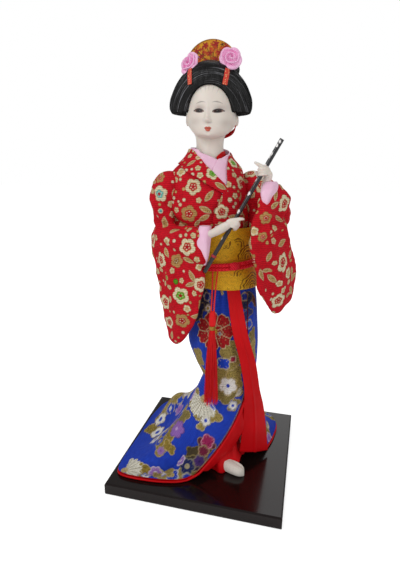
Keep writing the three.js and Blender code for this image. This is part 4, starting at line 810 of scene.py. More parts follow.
for px, py, size, turn, petals, spread in ((203.4, 399, 15, -1.95, 22, 1.35), (191, 388, 9, -2.2, 14, 1.1),
                                           (124.6, 470, 13, 0.75, 17, 1.25), (237, 391, 4, -0.6, 12, 1.3)):
    fan(ground, in_picture(ground, px, py), size, turn, petals, "#e0dccc", "#8c7c4c", "#c8b07c", spread)


def peony(ground, at, size):
    """A large red flower with notched petals, each petal outlined and veined in pale gold."""
    near, s, t = flat_on(ground, at, size * 1.2, 0.5)
    far, around = np.hypot(s, t), np.arctan2(t, s)
    petal = np.abs((around / (math.pi / 3.5)) % 1 - 0.5) * 2
    edge = size * (0.98 - 0.2 * petal ** 2 - 0.1 * bump(petal, 0, 0.16) + 0.03 * np.sin(around * 19))
    lay(ground, near, inside_of(far - edge), "#d8c498")
    lay(ground, near, inside_of(far - edge + 0.7), "#b4161e")
    lay(ground, near, inside_of((1 - petal) * far * 0.45 - 0.3) * inside_of(far - edge), "#d8c498")
    vein = np.abs(petal - 0.5) * far * 0.45 + 0.4 * np.abs(np.sin(far * 1.3))
    lay(ground, near, 0.8 * inside_of(vein - 0.34) * inside_of(far - 0.8 * edge) * inside_of(0.35 * size - far),
        "#c8a878")
    lay(ground, near, inside_of(np.abs(far - 0.36 * size - 0.6 * np.sin(around * 8)) - 0.26), "#d8c498")
    lay(ground, near, inside_of(far - 0.14 * size), "#c89c3c")


peony(ground, in_picture(ground, 214.6, 331.6), 14.8)
blossom(ground, in_picture(ground, 219.5, 333.5), 1.7, 0, 5, "#2344b4", "#c8b890")
edge = np.stack(skirt(np.full(240, 0.004), np.linspace(0.02, 0.56, 240)), -1)
by_edge = np.flatnonzero((np.abs(ground["co"] - edge.mean(0)) < np.ptp(edge, axis=0) * 0.5 + 2).all(1))
gap = np.linalg.norm(ground["co"][by_edge, None] - edge, axis=-1)
lay(ground, by_edge, inside_of(gap.min(1) - 0.7) * (0.6 + 0.4 * np.sin(gap.argmin(1) * 1.6)), "#c8b084")
dice = random.Random(5)
rear = rear_points(ground, -0.05)
for count in range(150):
    at = dice.choice(rear)
    kind = dice.random()
    if kind < 0.4:
        bank(ground, at, dice.uniform(4, 6.5), turn=dice.uniform(0, 6))
    elif kind < 0.5:
        fan(ground, at, dice.uniform(5, 8), dice.uniform(0, 6))
    else:
        fill, line, ring = dice.choice((("#a81c20", "#dcc8a0", "#c8a83c"), ("#2344b4", "#e4dcd0", "#c8a83c"),
                                        ("#e0d8d0", "#6a78b8", "#2344b4"), ("#9468b4", "#e0d0d8", "#e0d8d0"),
                                        ("#a42058", "#d8a0b0", "#d8c890")))
        blossom(ground, at, dice.uniform(3.8, 6), dice.uniform(0, 6), dice.choice((5, 6)), fill, line, None, ring)
keep_ink(outer, ground)

# Rolled edge: the red lining is brought over a cord along the opening and the hem.
edge_v = np.linspace(0.56 * 0.83, 0.03, 16)
opening = np.stack(skirt(np.zeros(16), edge_v), -1) + np.array((1.5, -1.2, -0.4))
low_edge = np.column_stack((hem(np.linspace(0.0, 1, 44)), np.full(44, 10.1)))
roll_place = tube(np.concatenate((opening, low_edge[1:])), [0.8, 0.8])
roll = cloth("hem_roll", 10, 420, roll_place, (5, 360), satin, closed=True)
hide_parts("hem_piping")

# Facing: the red satin that turns in from the opening edge and shows above the foot.
facing_rows = track([[0.17, 30.2, -16.4, 60], [0.34, 29.8, -16.6, 46.5], [0.5, 27.4, -17.4, 35.5],
                     [0.66, 21.4, -22.6, 25.6], [0.82, 13, -29, 17], [0.92, 6.6, -34.6, 13]])


def lining(u, v):
    share = 0.92 - 0.75 * v
    inner = facing_rows(share)
    edge = np.stack(skirt(np.full_like(share, 0.012), 0.56 * (1 - share)), -1)
    inward = np.stack((16 - edge[:, 0], -edge[:, 1], 0 * share), -1)
    inward /= np.linalg.norm(inward, axis=-1, keepdims=True)
    start = edge + inward * 1.2 + (0, 0, -1.2)
    crown = np.sin(math.pi * u) * np.linalg.norm(inner - start, axis=-1) * 0.1
    creases = 0.35 * np.sin(share * 26 + 4 * u)
    point = mix(inner, start, u[:, None]) + np.stack((0.5 * crown, -0.8 * crown + creases, 0 * u), -1)
    return point[:, 0], point[:, 1], point[:, 2]


flap = cloth("skirt_facing", 30, 70, lining, (18, 66), satin, wall=0.4)
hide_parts("skirt_lining")

# Front strip: the red edge of the overlapping panel, folded double and pressed, hanging from the sash.
strip_rows = track([[0, 14, -18, 146.6, 22, -14, 146.6], [1, 19.6, -24.4, 119.8, 29.6, -20.2, 117.4],
                    [2, 25.6, -23.8, 97.4, 36, -17.8, 94.6], [3, 29.2, -21.6, 75.2, 39.4, -14.4, 73],
                    [4, 29.2, -19.6, 59, 42.2, -9, 57], [5, 28.6, -17.8, 42, 44.6, -3.6, 36],
                    [6, 27, -16.6, 19.4, 46.8, 0.6, 12.6]])


def strip(u, v):
    row = strip_rows(6 * (1 - v))
    share = 1 - v
    swell = 1.2 * np.sin(math.pi * u) * share
    pleat = 0.7 * bump(u, 0.52, 0.05) * unit(share * 3)
    start, end = row[:, 0:3], row[:, 3:6]
    point = mix(start, end, u[:, None])
    return point[:, 0] + 0.4 * swell, point[:, 1] - swell - pleat, point[:, 2]


band = cloth("front_strip_satin", 48, 130, strip, (13, 132), satin, wall=0.8)
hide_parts("front_strip")

# Sash: gold brocade wound round the waist, with brown wave arcs woven in, and at the back the bow:
# a padded loop with the band's folded tail below it.
gold, tree, shader = finish_named("gold_brocade", roughness=0.5, specular_ior_level=0.2)
loops = off_middle(tree, noise(tree, 480, 3, Distortion=1.8))
yellow = blend(tree, noise(tree, 90, 1), "#e4a814", "#fed236")
scribbled = with_motifs(tree, blend(tree, ranged(tree, loops, 0.8, 0, 0.006, 0.03), yellow, "#80500c"))
weft = wave(tree, 330, "Z", Distortion=0.8)
join(shader, {"Base Color": scaled(tree, scribbled, ranged(tree, weft, 0.82, 1.08)),
              "Normal": relief(tree, loops, 0.0006, 0.4, relief(tree, weft, 0.0002, 0.5))})

sash = track([[145.5, 10.9, 0, 19.6, 21.4, 16.4, 16.4], [166, 9, 0, 19.4, 20.6, 16.4, 16],
              [182, 7.2, 0, 20.4, 19.6, 16.8, 15.8], [188, 6.4, 0, 21.4, 18.8, 17.2, 15.8]])


def sash_band(u, v):
    z = 145.7 + 42.1 * v
    around = math.tau * (u - 0.5)
    edge = 0.35 * unit(1 - np.minimum(v, 1 - v) * 40)
    layer = 0.35 * unit((v - 0.47) * 40) + 0.25 * unit((0.3 - v) * 40)
    wave = 0.3 * np.sin(3 * around + 6 * v) * bump(v, 0.5, 0.35)
    x, y = oval(sash(z), around, body_turn, 1.7 + layer + wave - edge)
    return x, y, z


def arcs(ground, at, reach, low=-0.4, high=3.6):
    """Wave arcs: rings 2.1 mm apart inside one another, part of the way round."""
    step = 2.1
    near, s, t = flat_on(ground, at, reach * 1.3)
    around = np.arctan2(t, s)
    far = np.hypot(s, t) * 1.1 + 0.5 * np.sin(3 * around + s) + 0.3 * np.sin(1.7 * t)
    ring = np.abs((far / step) % 1 - 0.5) * step
    shown = (far < reach) * (far > 1) * (around > low) * (around < high)
    lay(ground, near, inside_of(ring - 0.42) * shown * 0.9, "#642c0a")


band = cloth("obi_brocade", 300, 100, sash_band, (128, 42), gold, closed=True, wall=0.7)
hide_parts("obi_band")
ground = surface(band)
for px, py, reach, low in ((248, 258, 11, 0.2), (253, 291, 12, 0.4), (238, 246, 6.5, -0.8), (241, 276, 6.5, 1),
                           (226, 244, 4.4, -2.4), (253, 240, 6, 0.2)):
    arcs(ground, in_picture(ground, px, py), reach, low=low, high=low + 3)
dice = random.Random(3)
rear = rear_points(ground, -0.1)
for count in range(14):
    arcs(ground, dice.choice(rear), dice.uniform(6, 9), low=dice.uniform(-3, 0), high=dice.uniform(1, 3))
keep_ink(band, ground)


def at_back(x, out, z):
    """A point behind the sash: x across the back, out away from it."""
    row = chest(z)
    cx, cy = oval(row, np.full_like(z, math.pi), body_turn, 2.3 + out)
    c, s = cos_sin(body_turn)
    return cx + x * c, cy + x * s, z


def power(value, n):
    return np.sign(value) * np.abs(value) ** n


def bow(u, v):
    """A soft box pinched by the band through its middle, open-looking at both ends."""
    round_u, round_v = math.tau * u, math.pi * (v - 0.5)
    x = 20 * power(np.cos(round_u), 0.4) * power(np.cos(round_v), 0.3)
    y = 6 * power(np.sin(round_u), 0.55) * power(np.cos(round_v), 0.35)
    z = 18 * power(np.sin(round_v), 0.42)
    crown = 0.9 * np.cos(x / 20 * 1.4) * np.cos(z / 18 * 1.4)
    creases = 0.45 * np.sin(x * 0.55 + 0.4 * z) * bump(z, 0, 9) - 0.8 * bump(z, 0, 1.2) - 0.5 * bump(np.abs(z), 16, 1.4)
    return at_back(x, 5.2 + y + np.where(y > 2, crown + creases, 0), 172 + z)


loop = cloth("obi_bow_loop", 120, 90, bow, (90, 40), gold, closed=True)
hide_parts("obi_bow")


def weave_arcs(thing, count, seed):
    """Wave arcs here and there over the outer side of a piece of the bow."""
    dice, ground = random.Random(seed), surface(thing)
    for arc in range(count):
        arcs(ground, dice.randrange(len(ground["co"])), dice.uniform(5, 9), low=dice.uniform(-3, 0),
             high=dice.uniform(1, 3))
    keep_ink(thing, ground)


weave_arcs(loop, 26, 4)


def bow_tie(u, v):
    """The narrow band that holds the bow, over the loop and down behind it."""
    turn = math.pi * u
    width = 7 * (v - 0.5)
    return at_back(width, 4.6 + 8.4 * np.sin(turn) ** 0.5 + 0.25 * np.cos(width), 172 + 19.2 * np.cos(turn))


tie = cloth("obi_bow_band", 80, 14, bow_tie, (62, 10.5), gold, wall=0.5)
weave_arcs(tie, 5, 6)


def tail(u, v, shift):
    x = 32 * (u - 0.5) * (0.96 if shift == 0 else 1)
    return at_back(x + 0.6 * shift, 2.4 - 0.9 * shift + 0.5 * np.sin(x * 0.4) * (1 - v) + 1.6 * (1 - v) ** 2,
                   130.5 + 26 * v - 1.8 * shift + 0.01 * x * x)


for name, shift in (("obi_tail_upper", 0), ("obi_tail_under", 1)):
    flap = cloth(name, 60, 44, lambda u, v, shift=shift: tail(u, v, shift), (32, 26), gold, wall=0.5)
    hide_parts("obi_tail")
    weave_arcs(flap, 9, 7 + shift)

# Bodice, collar and sleeves: red kimono crepe, ribbed across, printed and woven with plum blossoms,
# paired leaves and dots in cream and gold thread, with a few in green and turquoise.
crepe, tree, shader = finish_named("red_kimono_crepe", roughness=0.8, specular_ior_level=0.12)
red = blend(tree, noise(tree, 120, 3), "#b80c1a", "#dc1a2c")
wander = noise(tree, 60, 1).node.outputs["Color"]
bent = add(tree, "VectorMath", {0: wander, 1: (0.003, 0.003, 0.003), 2: place_on(tree)}, operation="MULTIPLY_ADD")
# the crepe's ribs are 0.5 mm apart; they are drawn 1.25 mm apart to show
rib = wave(tree, 250, "Z", bent.outputs[0], Distortion=0.5)
shade = maths(tree, "MULTIPLY", ranged(tree, rib, 0.82, 1.08), ranged(tree, noise(tree, 900), 0.85, 1.12, 0.3, 0.7))
join(shader, {"Base Color": scaled(tree, with_motifs(tree, red), shade),
              "Normal": relief(tree, motif(tree, "Alpha"), 0.0002, 0.6, relief(tree, rib, 0.0004, 0.6))})

cream, pale, straw, tan, moss, lime = "#dcc89c", "#e4d8b4", "#c8a468", "#b89058", "#5e9e1c", "#b8d890"


def plum(ground, at, size, turn, petal="#dccfa8", core="#b81420", mark="#e4d8b4", heart=None):
    """A plum blossom as printed here: jagged cream petals, a wide coloured middle and cream dots."""
    near, s, t = flat_on(ground, at, size * 1.25, turn)
    far, around = np.hypot(s, t), np.arctan2(t, s)
    lobe = np.abs(np.cos(2.5 * around))
    edge = size * (0.74 + 0.26 * lobe ** 0.7 + 0.03 * np.sin(around * 23))
    lay(ground, near, inside_of(far - edge), "#b8965c")
    lay(ground, near, inside_of(far - edge + 0.25), petal)
    lay(ground, near, inside_of(far - size * (0.44 + 0.1 * lobe)), "#c8a05c")
    lay(ground, near, inside_of(far - size * (0.4 + 0.1 * lobe)), core)
    gap = np.hypot(far - 0.27 * size, np.abs(np.sin(2.5 * around)) * far * 0.4)
    lay(ground, near, inside_of(gap - 0.07 * size), mark)
    if heart:
        lay(ground, near, inside_of(far - 0.18 * size), heart)


def scatter(ground, seed, placed, tries=1300):
    """Places motifs over a whole piece, at random but never on one another, after the placed ones."""
    dice = random.Random(seed)
    taken = [(ground["co"][at], reach) for at, reach in placed]
    count = len(ground["co"])
    for attempt in range(tries):
        at = dice.randrange(count)
        here = ground["co"][at]
        kind = dice.random()
        size = (dice.uniform(4.8, 6.2) if kind < 0.35 else dice.uniform(3.9, 4.9) if kind < 0.7
                else dice.uniform(2, 2.6) if kind < 0.85 else 1.1)
        if any(np.linalg.norm(here - there) < (size + reach) * 0.96 + 0.3 for there, reach in taken):
            continue
        taken.append((here, size))
        turn = dice.uniform(0, 6.3)
        if kind < 0.24:
            plum(ground, at, size, turn)
        elif kind < 0.35:
            plum(ground, at, size * 0.95, turn, tan, "#a81420")
        elif kind < 0.7:
            leaf(ground, at, size, turn)
            near = flat_on(ground, at, size * 2.2, turn + 1.1)
            other = near[0][np.hypot(near[1] - size * 0.9, near[2] - size * 0.55).argmin()]
            leaf(ground, int(other), size * 0.8, turn + 1.2)
        elif kind < 0.85:
            plum(ground, at, size, turn, "#dccfa8", straw)
        else:
            dot(ground, at, dice.uniform(0.8, 1.3), dice.choice(("#d8c8a0", straw, "#e0d4b4")))


def print_crepe(thing, seed, flowers=(), leaves=(), dots=()):
    """flowers, leaves and dots: px, py, size in mm, then colours; drawn after the scattered ones."""
    ground = surface(thing)
    spots = [(in_picture(ground, px, py), size) for px, py, size, *rest in (*flowers, *leaves, *dots)]
    scatter(ground, seed, spots)
    for (at, reach), (px, py, size, *colours) in zip(spots, flowers):
        plum(ground, at, size, 0.2 * px, *colours)
    for (at, reach), (px, py, size, turn) in zip(spots[len(flowers):], leaves):
        leaf(ground, at, size, turn)
    for (at, reach), (px, py, size, *colours) in zip(spots[len(flowers) + len(leaves):], dots):
        dot(ground, at, size, *colours)
    keep_ink(thing, ground)


def bodice(u, v):
    z = 187.4 + 44 * v
    around = math.tau * (u - 0.5)
    tuck = 0.55 * np.sin(9 * around + 0.16 * z) * bump(z, 190, 9) + 0.8 * np.sin(4 * around + 0.1 * z) * bump(z, 203,
        14)
    x, y = oval(chest(z), around, body_turn, 0.1 + tuck - 0.5 * unit((v - 0.9) * 10))
    return x, y, z


bust = cloth("bodice_crepe", 360, 110, bodice, (150, 44), crepe, closed=True, wall=0.6)
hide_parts("bodice")
print_crepe(bust, 21, flowers=((193, 187, 5.6), (189, 213.8, 5.6, tan), (222, 212.6, 5.6, "#dccfa8"),
                               (181, 172, 3.6, pale, straw), (200, 175.5, 2.4, pale, straw),
                               (231.8, 201, 2.4, pale, straw), (232.4, 165, 4, pale, moss, lime)),
            leaves=((205.7, 210, 4.6, 2.7), (204.4, 217.6, 4.2, 0.5), (221, 186, 4.4, 2.6), (209.5, 196, 4.6, 0.9),
                    (240, 196, 3.6, 1.2)),
            dots=((184, 200, 1.2, pale), (232, 188, 1.2, cream), (226, 174, 1.1, pale)))

# Collars: a folded crepe collar over a pink satin under-collar, and a red inner one at the throat.
# Each is a strip folded double, crossed left over right and stitched down at the sash.
rosy = two_tone("pink_satin", lambda tree: noise(tree, 110), "#f0b4d6", "#fedaec", 0.0008, 0.4,
                roughness=0.42, sheen_weight=0.1)


def collar(stations, lift_fold=0.5):
    """place(u, v) for a strip that lies on the chest: where its two edges are, and its lift."""
    strip_at = track(stations)

    def place(u, v):
        row = strip_at(stations[-1][0] * u)
        angle = np.radians(mix(row[:, 0], row[:, 2], v))
        z = mix(row[:, 1], row[:, 3], v)
        fold = lift_fold * unit(1 - ((v - 0.55) / 0.5) ** 2)
        x, y = oval(chest(z), angle, body_turn, row[:, 4] + 0.5 + fold)
        return x, y, z
    return place


kimono_collar = [[0, 12, 203, 15, 210], [1, -6, 211.2, 1, 216.8], [2, -27, 218.8, -11, 224.8],
                 [3, -41, 222.8, -31, 231.2], [4, -63, 226.6, -49, 234.4], [5, -83, 228.8, -74, 238],
                 [6, -130, 229.2, -130, 238.8], [7, -180, 229.2, -180, 238.8], [8, -230, 229.2, -230, 238.8],
                 [9, -281, 227.4, -284, 236.4], [10, -309, 225, -326, 234], [11, -333, 214.4, -346, 227.4],
                 [12, -345, 204.4, -356, 216.8], [13, -353, 195, -368, 208.8], [14, -358, 188.6, -377, 199.6],
                 [15, -363, 188.5, -383, 192]]
pink_collar = [[0, 9, 211, 22, 222], [1, 1, 214.4, 14, 228.6], [2, -15, 221.4, -4, 232.2], [3, -34, 228, -28, 234.8],
               [4, -55, 231.4, -43, 236], [5, -78, 233.6, -62, 238.4], [6, -130, 230.8, -130, 239.8],
               [7, -180, 230.8, -180, 239.8], [8, -230, 230.8, -230, 239.8], [9, -282, 229.6, -286, 237.4],
               [10, -320, 226, -328, 234.8], [11, -345, 217, -350, 232.6], [12, -358, 212.4, -362, 231],
               [13, -365, 210, -374, 222]]
kimono_lift = [2.25, 2.25, 2.1, 1.4, 0.9, 1.1, 1.3, 1.3, 1.3, 1.6, 2.5, 3.15, 3.15, 3.15, 3.15, 3.15]
kimono_strip = collar([[*row, lift] for row, lift in zip(kimono_collar, kimono_lift)])
pink_lift = [0.45] * 4 + [0.1] * 5 + [0.5] + [1.35] * 4
pink_strip = collar([[*row, lift] for row, lift in zip(pink_collar, pink_lift)], 0.3)
throat_strip = collar([[0, 4, 231.4, 3, 233.4, -2.3], [1, 16, 232, 14, 235, -2.3], [2, 36, 233.8, 34, 236.8, -2.3],
                       [3, 70, 234.6, 68, 237.6, -2.3]], 0.1)
lapel = cloth("kimono_collar_crepe", 560, 26, lambda u, v: kimono_strip(1 - u, v), (190, 11), crepe, wall=0.5)
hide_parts("kimono_collar")
print_crepe(lapel, 8, flowers=((212.4, 173.6, 4.6, pale, moss, lime), (198.6, 157.4, 2.4, pale, straw),
                               (200, 175.5, 2.3, pale, straw), (222, 212, 5, pale), (228.6, 184.4, 2.4, pale, straw),
                               (233, 163, 4.2, pale, moss, lime)),
            leaves=((191, 163, 3.6, 0.9), (220.6, 186, 4.2, 2.6), (216, 198, 3.4, 1.2)),
            dots=((183, 160, 1.0, pale), (207, 166, 0.9, cream), (230, 200, 1.6, pale)))
under = cloth("pink_collar_satin", 340, 18, lambda u, v: pink_strip(1 - u, v), (150, 10), rosy, wall=0.4)
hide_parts("pink_collar")
throat = cloth("inner_collar_satin", 90, 10, throat_strip, (17, 3), satin, wall=0.4)
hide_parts("inner_collar")

# Sleeves: each is a tube over the arm that opens into a long hanging bag, sewn up in front.
# They are lined with pink satin, which shows at the wrists.


def bag(rows, turn, low, high, phase, folds):
    """place(u, v) for a hanging sleeve bag: rings of an oval, closed at both ends."""
    rings = track(rows)

    def place(u, v):
        share = eased(v)
        z = mix(low, high, share)
        around = math.tau * u
        drop = unit((high - z) / (high - low))
        crease = folds * np.sin(5 * around + phase + 0.05 * z) * np.sin(math.pi * drop) ** 0.7
        row = rings(z)
        x, y = oval(row, around, turn, crease)
        shut = np.clip(np.minimum(v, 1 - v) * 30, 0.004, 1)
        return drawn_in(row, x, y, z, shut)
    return place


def merged(name, parts):
    """One mesh of several pieces, which are taken out of the scene."""
    bm = bmesh.new()
    for part in parts:
        bm.from_mesh(part.data)
        bpy.data.objects.remove(part)
    return meshed(bm, name)


def sewn(name, parts, cell, ease):
    """Joins closed forms into one skin: remeshed, then eased as cloth eases over a join."""
    form = bpy.data.objects.new(name + "_rough", merged(name + "_rough", parts))
    bpy.context.scene.collection.objects.link(form)
    skin = form.modifiers.new("skin", "REMESH")
    skin.mode = "VOXEL"
    skin.voxel_size = cell * mm
    easing = form.modifiers.new("easing", "SMOOTH")
    easing.factor = 0.5
    easing.iterations = ease
    bpy.context.view_layer.update()
    mesh = bpy.data.meshes.new_from_object(form.evaluated_get(bpy.context.evaluated_depsgraph_get()))
    mesh.name = name
    bpy.data.objects.remove(form)
    mesh.materials.clear()
    return mesh


def wrinkle(mesh, shape):
    """Moves each point of a mesh along its normal by shape(x, y, z), in mm."""
    co, out = vertices(mesh) * 1000, vertices(mesh, "normal")
    mesh.vertices.foreach_set("co", ((co + out * shape(*co.T)[:, None]) * mm).ravel())
    mesh.update()


right_rows = [[104.6, -21.6, -22.4, 2, 2.4, 1.2, 1.2], [107, -21.4, -22.6, 5, 5.4, 2.4, 2.4],
              [112, -20.4, -22.8, 8, 8.4, 3.6, 3.4], [128, -17.8, -24, 15, 15, 5.4, 5],
              [142, -17, -24.6, 19, 19, 6.6, 6], [154, -16.8, -24.6, 21.4, 21.6, 7.4, 6.6],
              [173, -19.2, -23.4, 24.6, 24.2, 8, 7], [182, -20.2, -22.8, 23.6, 24.6, 7.4, 6.6],
              [187, -20, -22.8, 19.4, 25, 6, 5.4], [190.8, -19, -23, 13, 23, 1.8, 1.8]]
left_rows = [[129.6, 47.6, -8.6, 3, 3, 1.2, 1.2], [131.6, 48.2, -7.8, 7.4, 6, 2.4, 2.4],
             [138, 49.2, -7, 15, 13.6, 4.2, 4.2], [152, 47.4, -11, 21.8, 19.6, 5.8, 5.8],
             [164, 46.2, -13.2, 21.4, 19.2, 6.4, 6.4], [178, 43, -19.4, 21.4, 17.4, 6.8, 6.8],
             [190, 42.6, -19.6, 20.6, 13.4, 6.6, 6.6], [196.6, 43, -19.2, 19.4, 11.6, 6.6, 6.6],
             [204, 43.6, -18.4, 17, 14.4, 6.2, 6.2], [208.6, 44.2, -17.8, 15.4, 12.4, 5.6, 5.6],
             [213, 44.2, -18.2, 12.6, 7.6, 4.4, 4.4], [217, 43.2, -20, 7.6, 3, 2.6, 2.6]]
right_tube = tube([(-20, -8.6, 216.4), (-29.4, -12.4, 213.4), (-32.4, -14, 204), (-31, -15, 194), (-28.6, -18, 184)],
                  [10.4, 10.4, 9.4, 8.2, 7.4])
left_tube = tube([(14, 12, 215.6), (26, 11.4, 213.6), (36.6, 7, 205), (42.6, 1, 199), (41, -5, 192)],
                 [10.2, 11, 11.2, 10, 8.4])
right_web = tube([(-23, -1, 212), (-19, -5, 200), (-18, -11, 190), (-14, -17, 184)], [6, 6.4, 6.4, 5])
left_web = tube([(22, 8, 212), (27, 6, 201), (31, 2, 190), (36, -6, 176)], [6.6, 7, 7, 6])


def tucked(x, z, start, end, depth, width=2.4):
    """A fold line across a sleeve: the cloth above it stands out over the cloth below."""
    run = math.hypot(end[0] - start[0], end[1] - start[1])
    ahead = ((x - start[0]) * (end[0] - start[0]) + (z - start[1]) * (end[1] - start[1])) / run
    off = ((z - start[1]) * (end[0] - start[0]) - (x - start[0]) * (end[1] - start[1])) / run
    inner = unit(np.minimum(ahead + 3, run + 3 - ahead) / 4)
    return depth * inner * off / width * np.exp(0.5 - 0.5 * (off / width) ** 2)


def right_folds(x, y, z):
    lines = (((-27, 179), (4, 165.4), 1.5), ((-36, 187), (-2, 188.6), -1.0),
             ((-36, 212), (-26, 196), 1.2), ((-40, 206), (-31, 190), 1.1))
    return (sum(tucked(x, z, *line) for line in lines) * (y < -8)
            + 0.8 * np.sin(0.42 * (z + 0.9 * x)) * bump(z, 196, 14)
            + 0.5 * np.sin(0.3 * z - 0.5 * x) * bump(z, 150, 36)
            + 0.1 * np.sin(0.9 * z + 0.7 * y))


def left_folds(x, y, z):
    """The last two terms are the notch below the elbow, and the cloth round the elbow itself."""
    lines = (((35, 210), (50, 194), -1.3), ((34, 181), (46, 190), 1.3),
             ((44, 176), (50, 150), 0.9), ((36, 172), (42, 150), -0.9))
    return (sum(tucked(x, z, *line) for line in lines) * (y < 2)
            + 0.7 * np.sin(0.42 * (z - 0.8 * x)) * bump(z, 200, 16)
            + 0.5 * np.sin(0.28 * z + 0.5 * y) * bump(z, 165, 34)
            + 0.1 * np.sin(0.9 * z - 0.7 * y)
            - 2.6 * bump(z, 195.4, 3.4) * (x > 42) * (y < -12)
            + 2.4 * bump(y, -4.5, 5) * bump(z, 196, 6) * (x > 40))


for name, bag_place, arm_place, web_place, folds in (
        ("right_sleeve", bag(right_rows, -27.6, 104.4, 190.9, 0.5, 0.9), right_tube, right_web, right_folds),
        ("left_sleeve", bag(left_rows, 61.7, 129.4, 217.2, 1.4, 0.9), left_tube, left_web, left_folds)):
    parts = [cloth(name + "_bag", 60, 60, bag_place, (90, 90), crepe, closed=True),
             cloth(name + "_arm", 40, 40, arm_place, (60, 50), crepe, closed=True),
             cloth(name + "_web", 30, 30, web_place, (40, 40), crepe, closed=True)]
    mesh = sewn(name + "_crepe", parts, 0.46, 24)
    wrinkle(mesh, folds)
    sleeve = link(name + "_crepe", mesh, crepe)
    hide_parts(name)
    if name == "right_sleeve":
        print_crepe(sleeve, 31, flowers=((159.1, 194, 5.8, pale, "#5cb8b0", "#dcd8c8", "#b01422"), (187, 247, 6, pale),
                                         (176.3, 261, 4.8, tan, "#8a5c28"), (161, 259.7, 5.6, pale),
                                         (199.6, 267, 2.8, pale, straw), (200.8, 284.6, 5.4, pale),
                                         (180.2, 296, 6.4, pale, moss, lime, "#b01422"), (166, 302, 5.6, pale),
                                         (181.7, 320.7, 5.6, tan, "#a81420"), (170, 322, 4.6, pale),
                                         (187, 309, 3, pale, straw), (166, 242, 3.4, pale, straw),
                                         (160, 178, 3.6, tan)),
                    leaves=((165, 224, 5.4, 1.6), (189, 260, 4.6, 2.9), (192, 276, 4.4, 2), (190.4, 284.6, 4, 0.4),
                            (166, 252, 4, 2.2), (174, 230, 4, 0.5), (172, 335, 3.4, 1.4)),
                    dots=((175.7, 281.4, 2, moss, "#3c7a1c"), (166.8, 277.6, 1.9, "#8c9c3c", straw),
                          (160.4, 211, 1.8, "#5cb8b0", pale), (183, 332.6, 1.3, pale), (174, 312, 1.1, cream),
                          (184, 271, 1, pale)))
    else:
        print_crepe(sleeve, 47, flowers=((282.8, 262.2, 7, pale), (284.7, 203.6, 5.8, pale), (278.4, 300.5, 6, pale),
                                         (288.6, 273, 4.2, pale, straw), (254, 231, 3, pale, straw),
                                         (263, 237, 3.4, tan), (284, 289.7, 3, pale, straw),
                                         (279.6, 284, 2.8, pale, straw), (266, 218, 4, tan)),
                    leaves=((275.8, 194.6, 4, 1.3), (281, 185.7, 3.4, 2), (274.5, 205.4, 3.8, 0.6),
                            (278.4, 218.9, 4.6, 2.7), (282.2, 243, 5, 0.3), (272, 278.8, 4.8, 2.4), (269, 257, 4, 1.4),
                            (290, 254, 3.4, 1.6)),
                    dots=((266, 290, 1.1, pale), (271, 232, 1.1, cream), (289, 236, 1.2, cream)))

right_cuff = [[166.4, 1.6, -33.6, 0.9, 1.2, 1.4, 1.4], [171, 0.8, -33, 2.8, 3.6, 2.4, 2.4],
              [178, 0.2, -32.8, 4.4, 5, 3.8, 3.8], [185.6, 0.6, -32.4, 4, 4.8, 4.6, 4.8],
              [190.9, 1.3, -31.8, 3.4, 4, 3.8, 4.2]]
left_cuff = [[203.6, 38.4, -30, 1.4, 1.4, 1, 1], [208, 38.8, -28.6, 3.8, 4.2, 2.6, 2.6],
             [213, 39.4, -26.2, 5.8, 6, 4.4, 4.4], [216.8, 40.2, -24.2, 5.4, 5.6, 4.4, 4.4],
             [218.6, 40.4, -23.6, 4, 4.4, 3.4, 3.4]]
for name, rows, turn, low, high in (("right_cuff", right_cuff, -27.6, 166.2, 191.2),
                                    ("left_cuff", left_cuff, 61.7, 203.4, 218.8)):
    frill = cloth(name + "_satin", 60, 50, bag(rows, turn, low, high, 0.3, 0.25), (20, high - low), rosy, closed=True)
    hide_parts(name)

# Hands: cast in plaster with slim fingers, painted the same white as the face.
# The lower hand holds the flute from below and the upper one closes its fingers over it.
gofun, tree, shader = finish_named("white_shell_paint", roughness=0.42, subsurface_weight=0.08, subsurface_scale=0.002)
join(shader, {"Base Color": with_motifs(tree, blend(tree, noise(tree, 70), "#e4d8cc", "#f0e6dc")),
              "Normal": relief(tree, noise(tree, 1600), 0.00004, 0.4)})

right_palm = ([(1.2, -31, 184.3), (5.6, -33, 186.4), (10.4, -34.8, 188.9), (15, -36.2, 191.9), (19.2, -36.8, 194.6)],
              [3, 3, 3.2, 3.3, 2.4])
left_palm = ([(35.8, -21, 212.9), (37.1, -23, 216.6), (38.4, -25, 220.6), (39, -26.4, 223.5), (38.3, -28, 225.4)],
             [2.6, 2.5, 2.5, 2.6, 2])
right_fingers = [[(16, -36.8, 194.4), (18.8, -37, 195.8), (22.1, -37, 196.4), (24.4, -36.4, 196.8), (26.6, -35, 196.7)],
                 [(17, -36.8, 194), (19.5, -37.2, 195.1), (22.3, -36.8, 194.8), (22.9, -34, 192.9), (21, -29, 191.1)],
                 [(16, -36.6, 193), (18.8, -37, 193.9), (21.6, -36.8, 193.4), (22.1, -33.4, 191.6),
                  (20.4, -28.6, 190.2)],
                 [(15, -36.4, 192), (17.5, -36.6, 192.8), (20.5, -36.4, 192.2), (21.1, -33, 190.4), (19, -28.6, 189.1)],
                 [(8, -34, 189.6), (12.8, -34.6, 191.9), (16.4, -30.6, 193.4), (20.9, -27.4, 194)]]
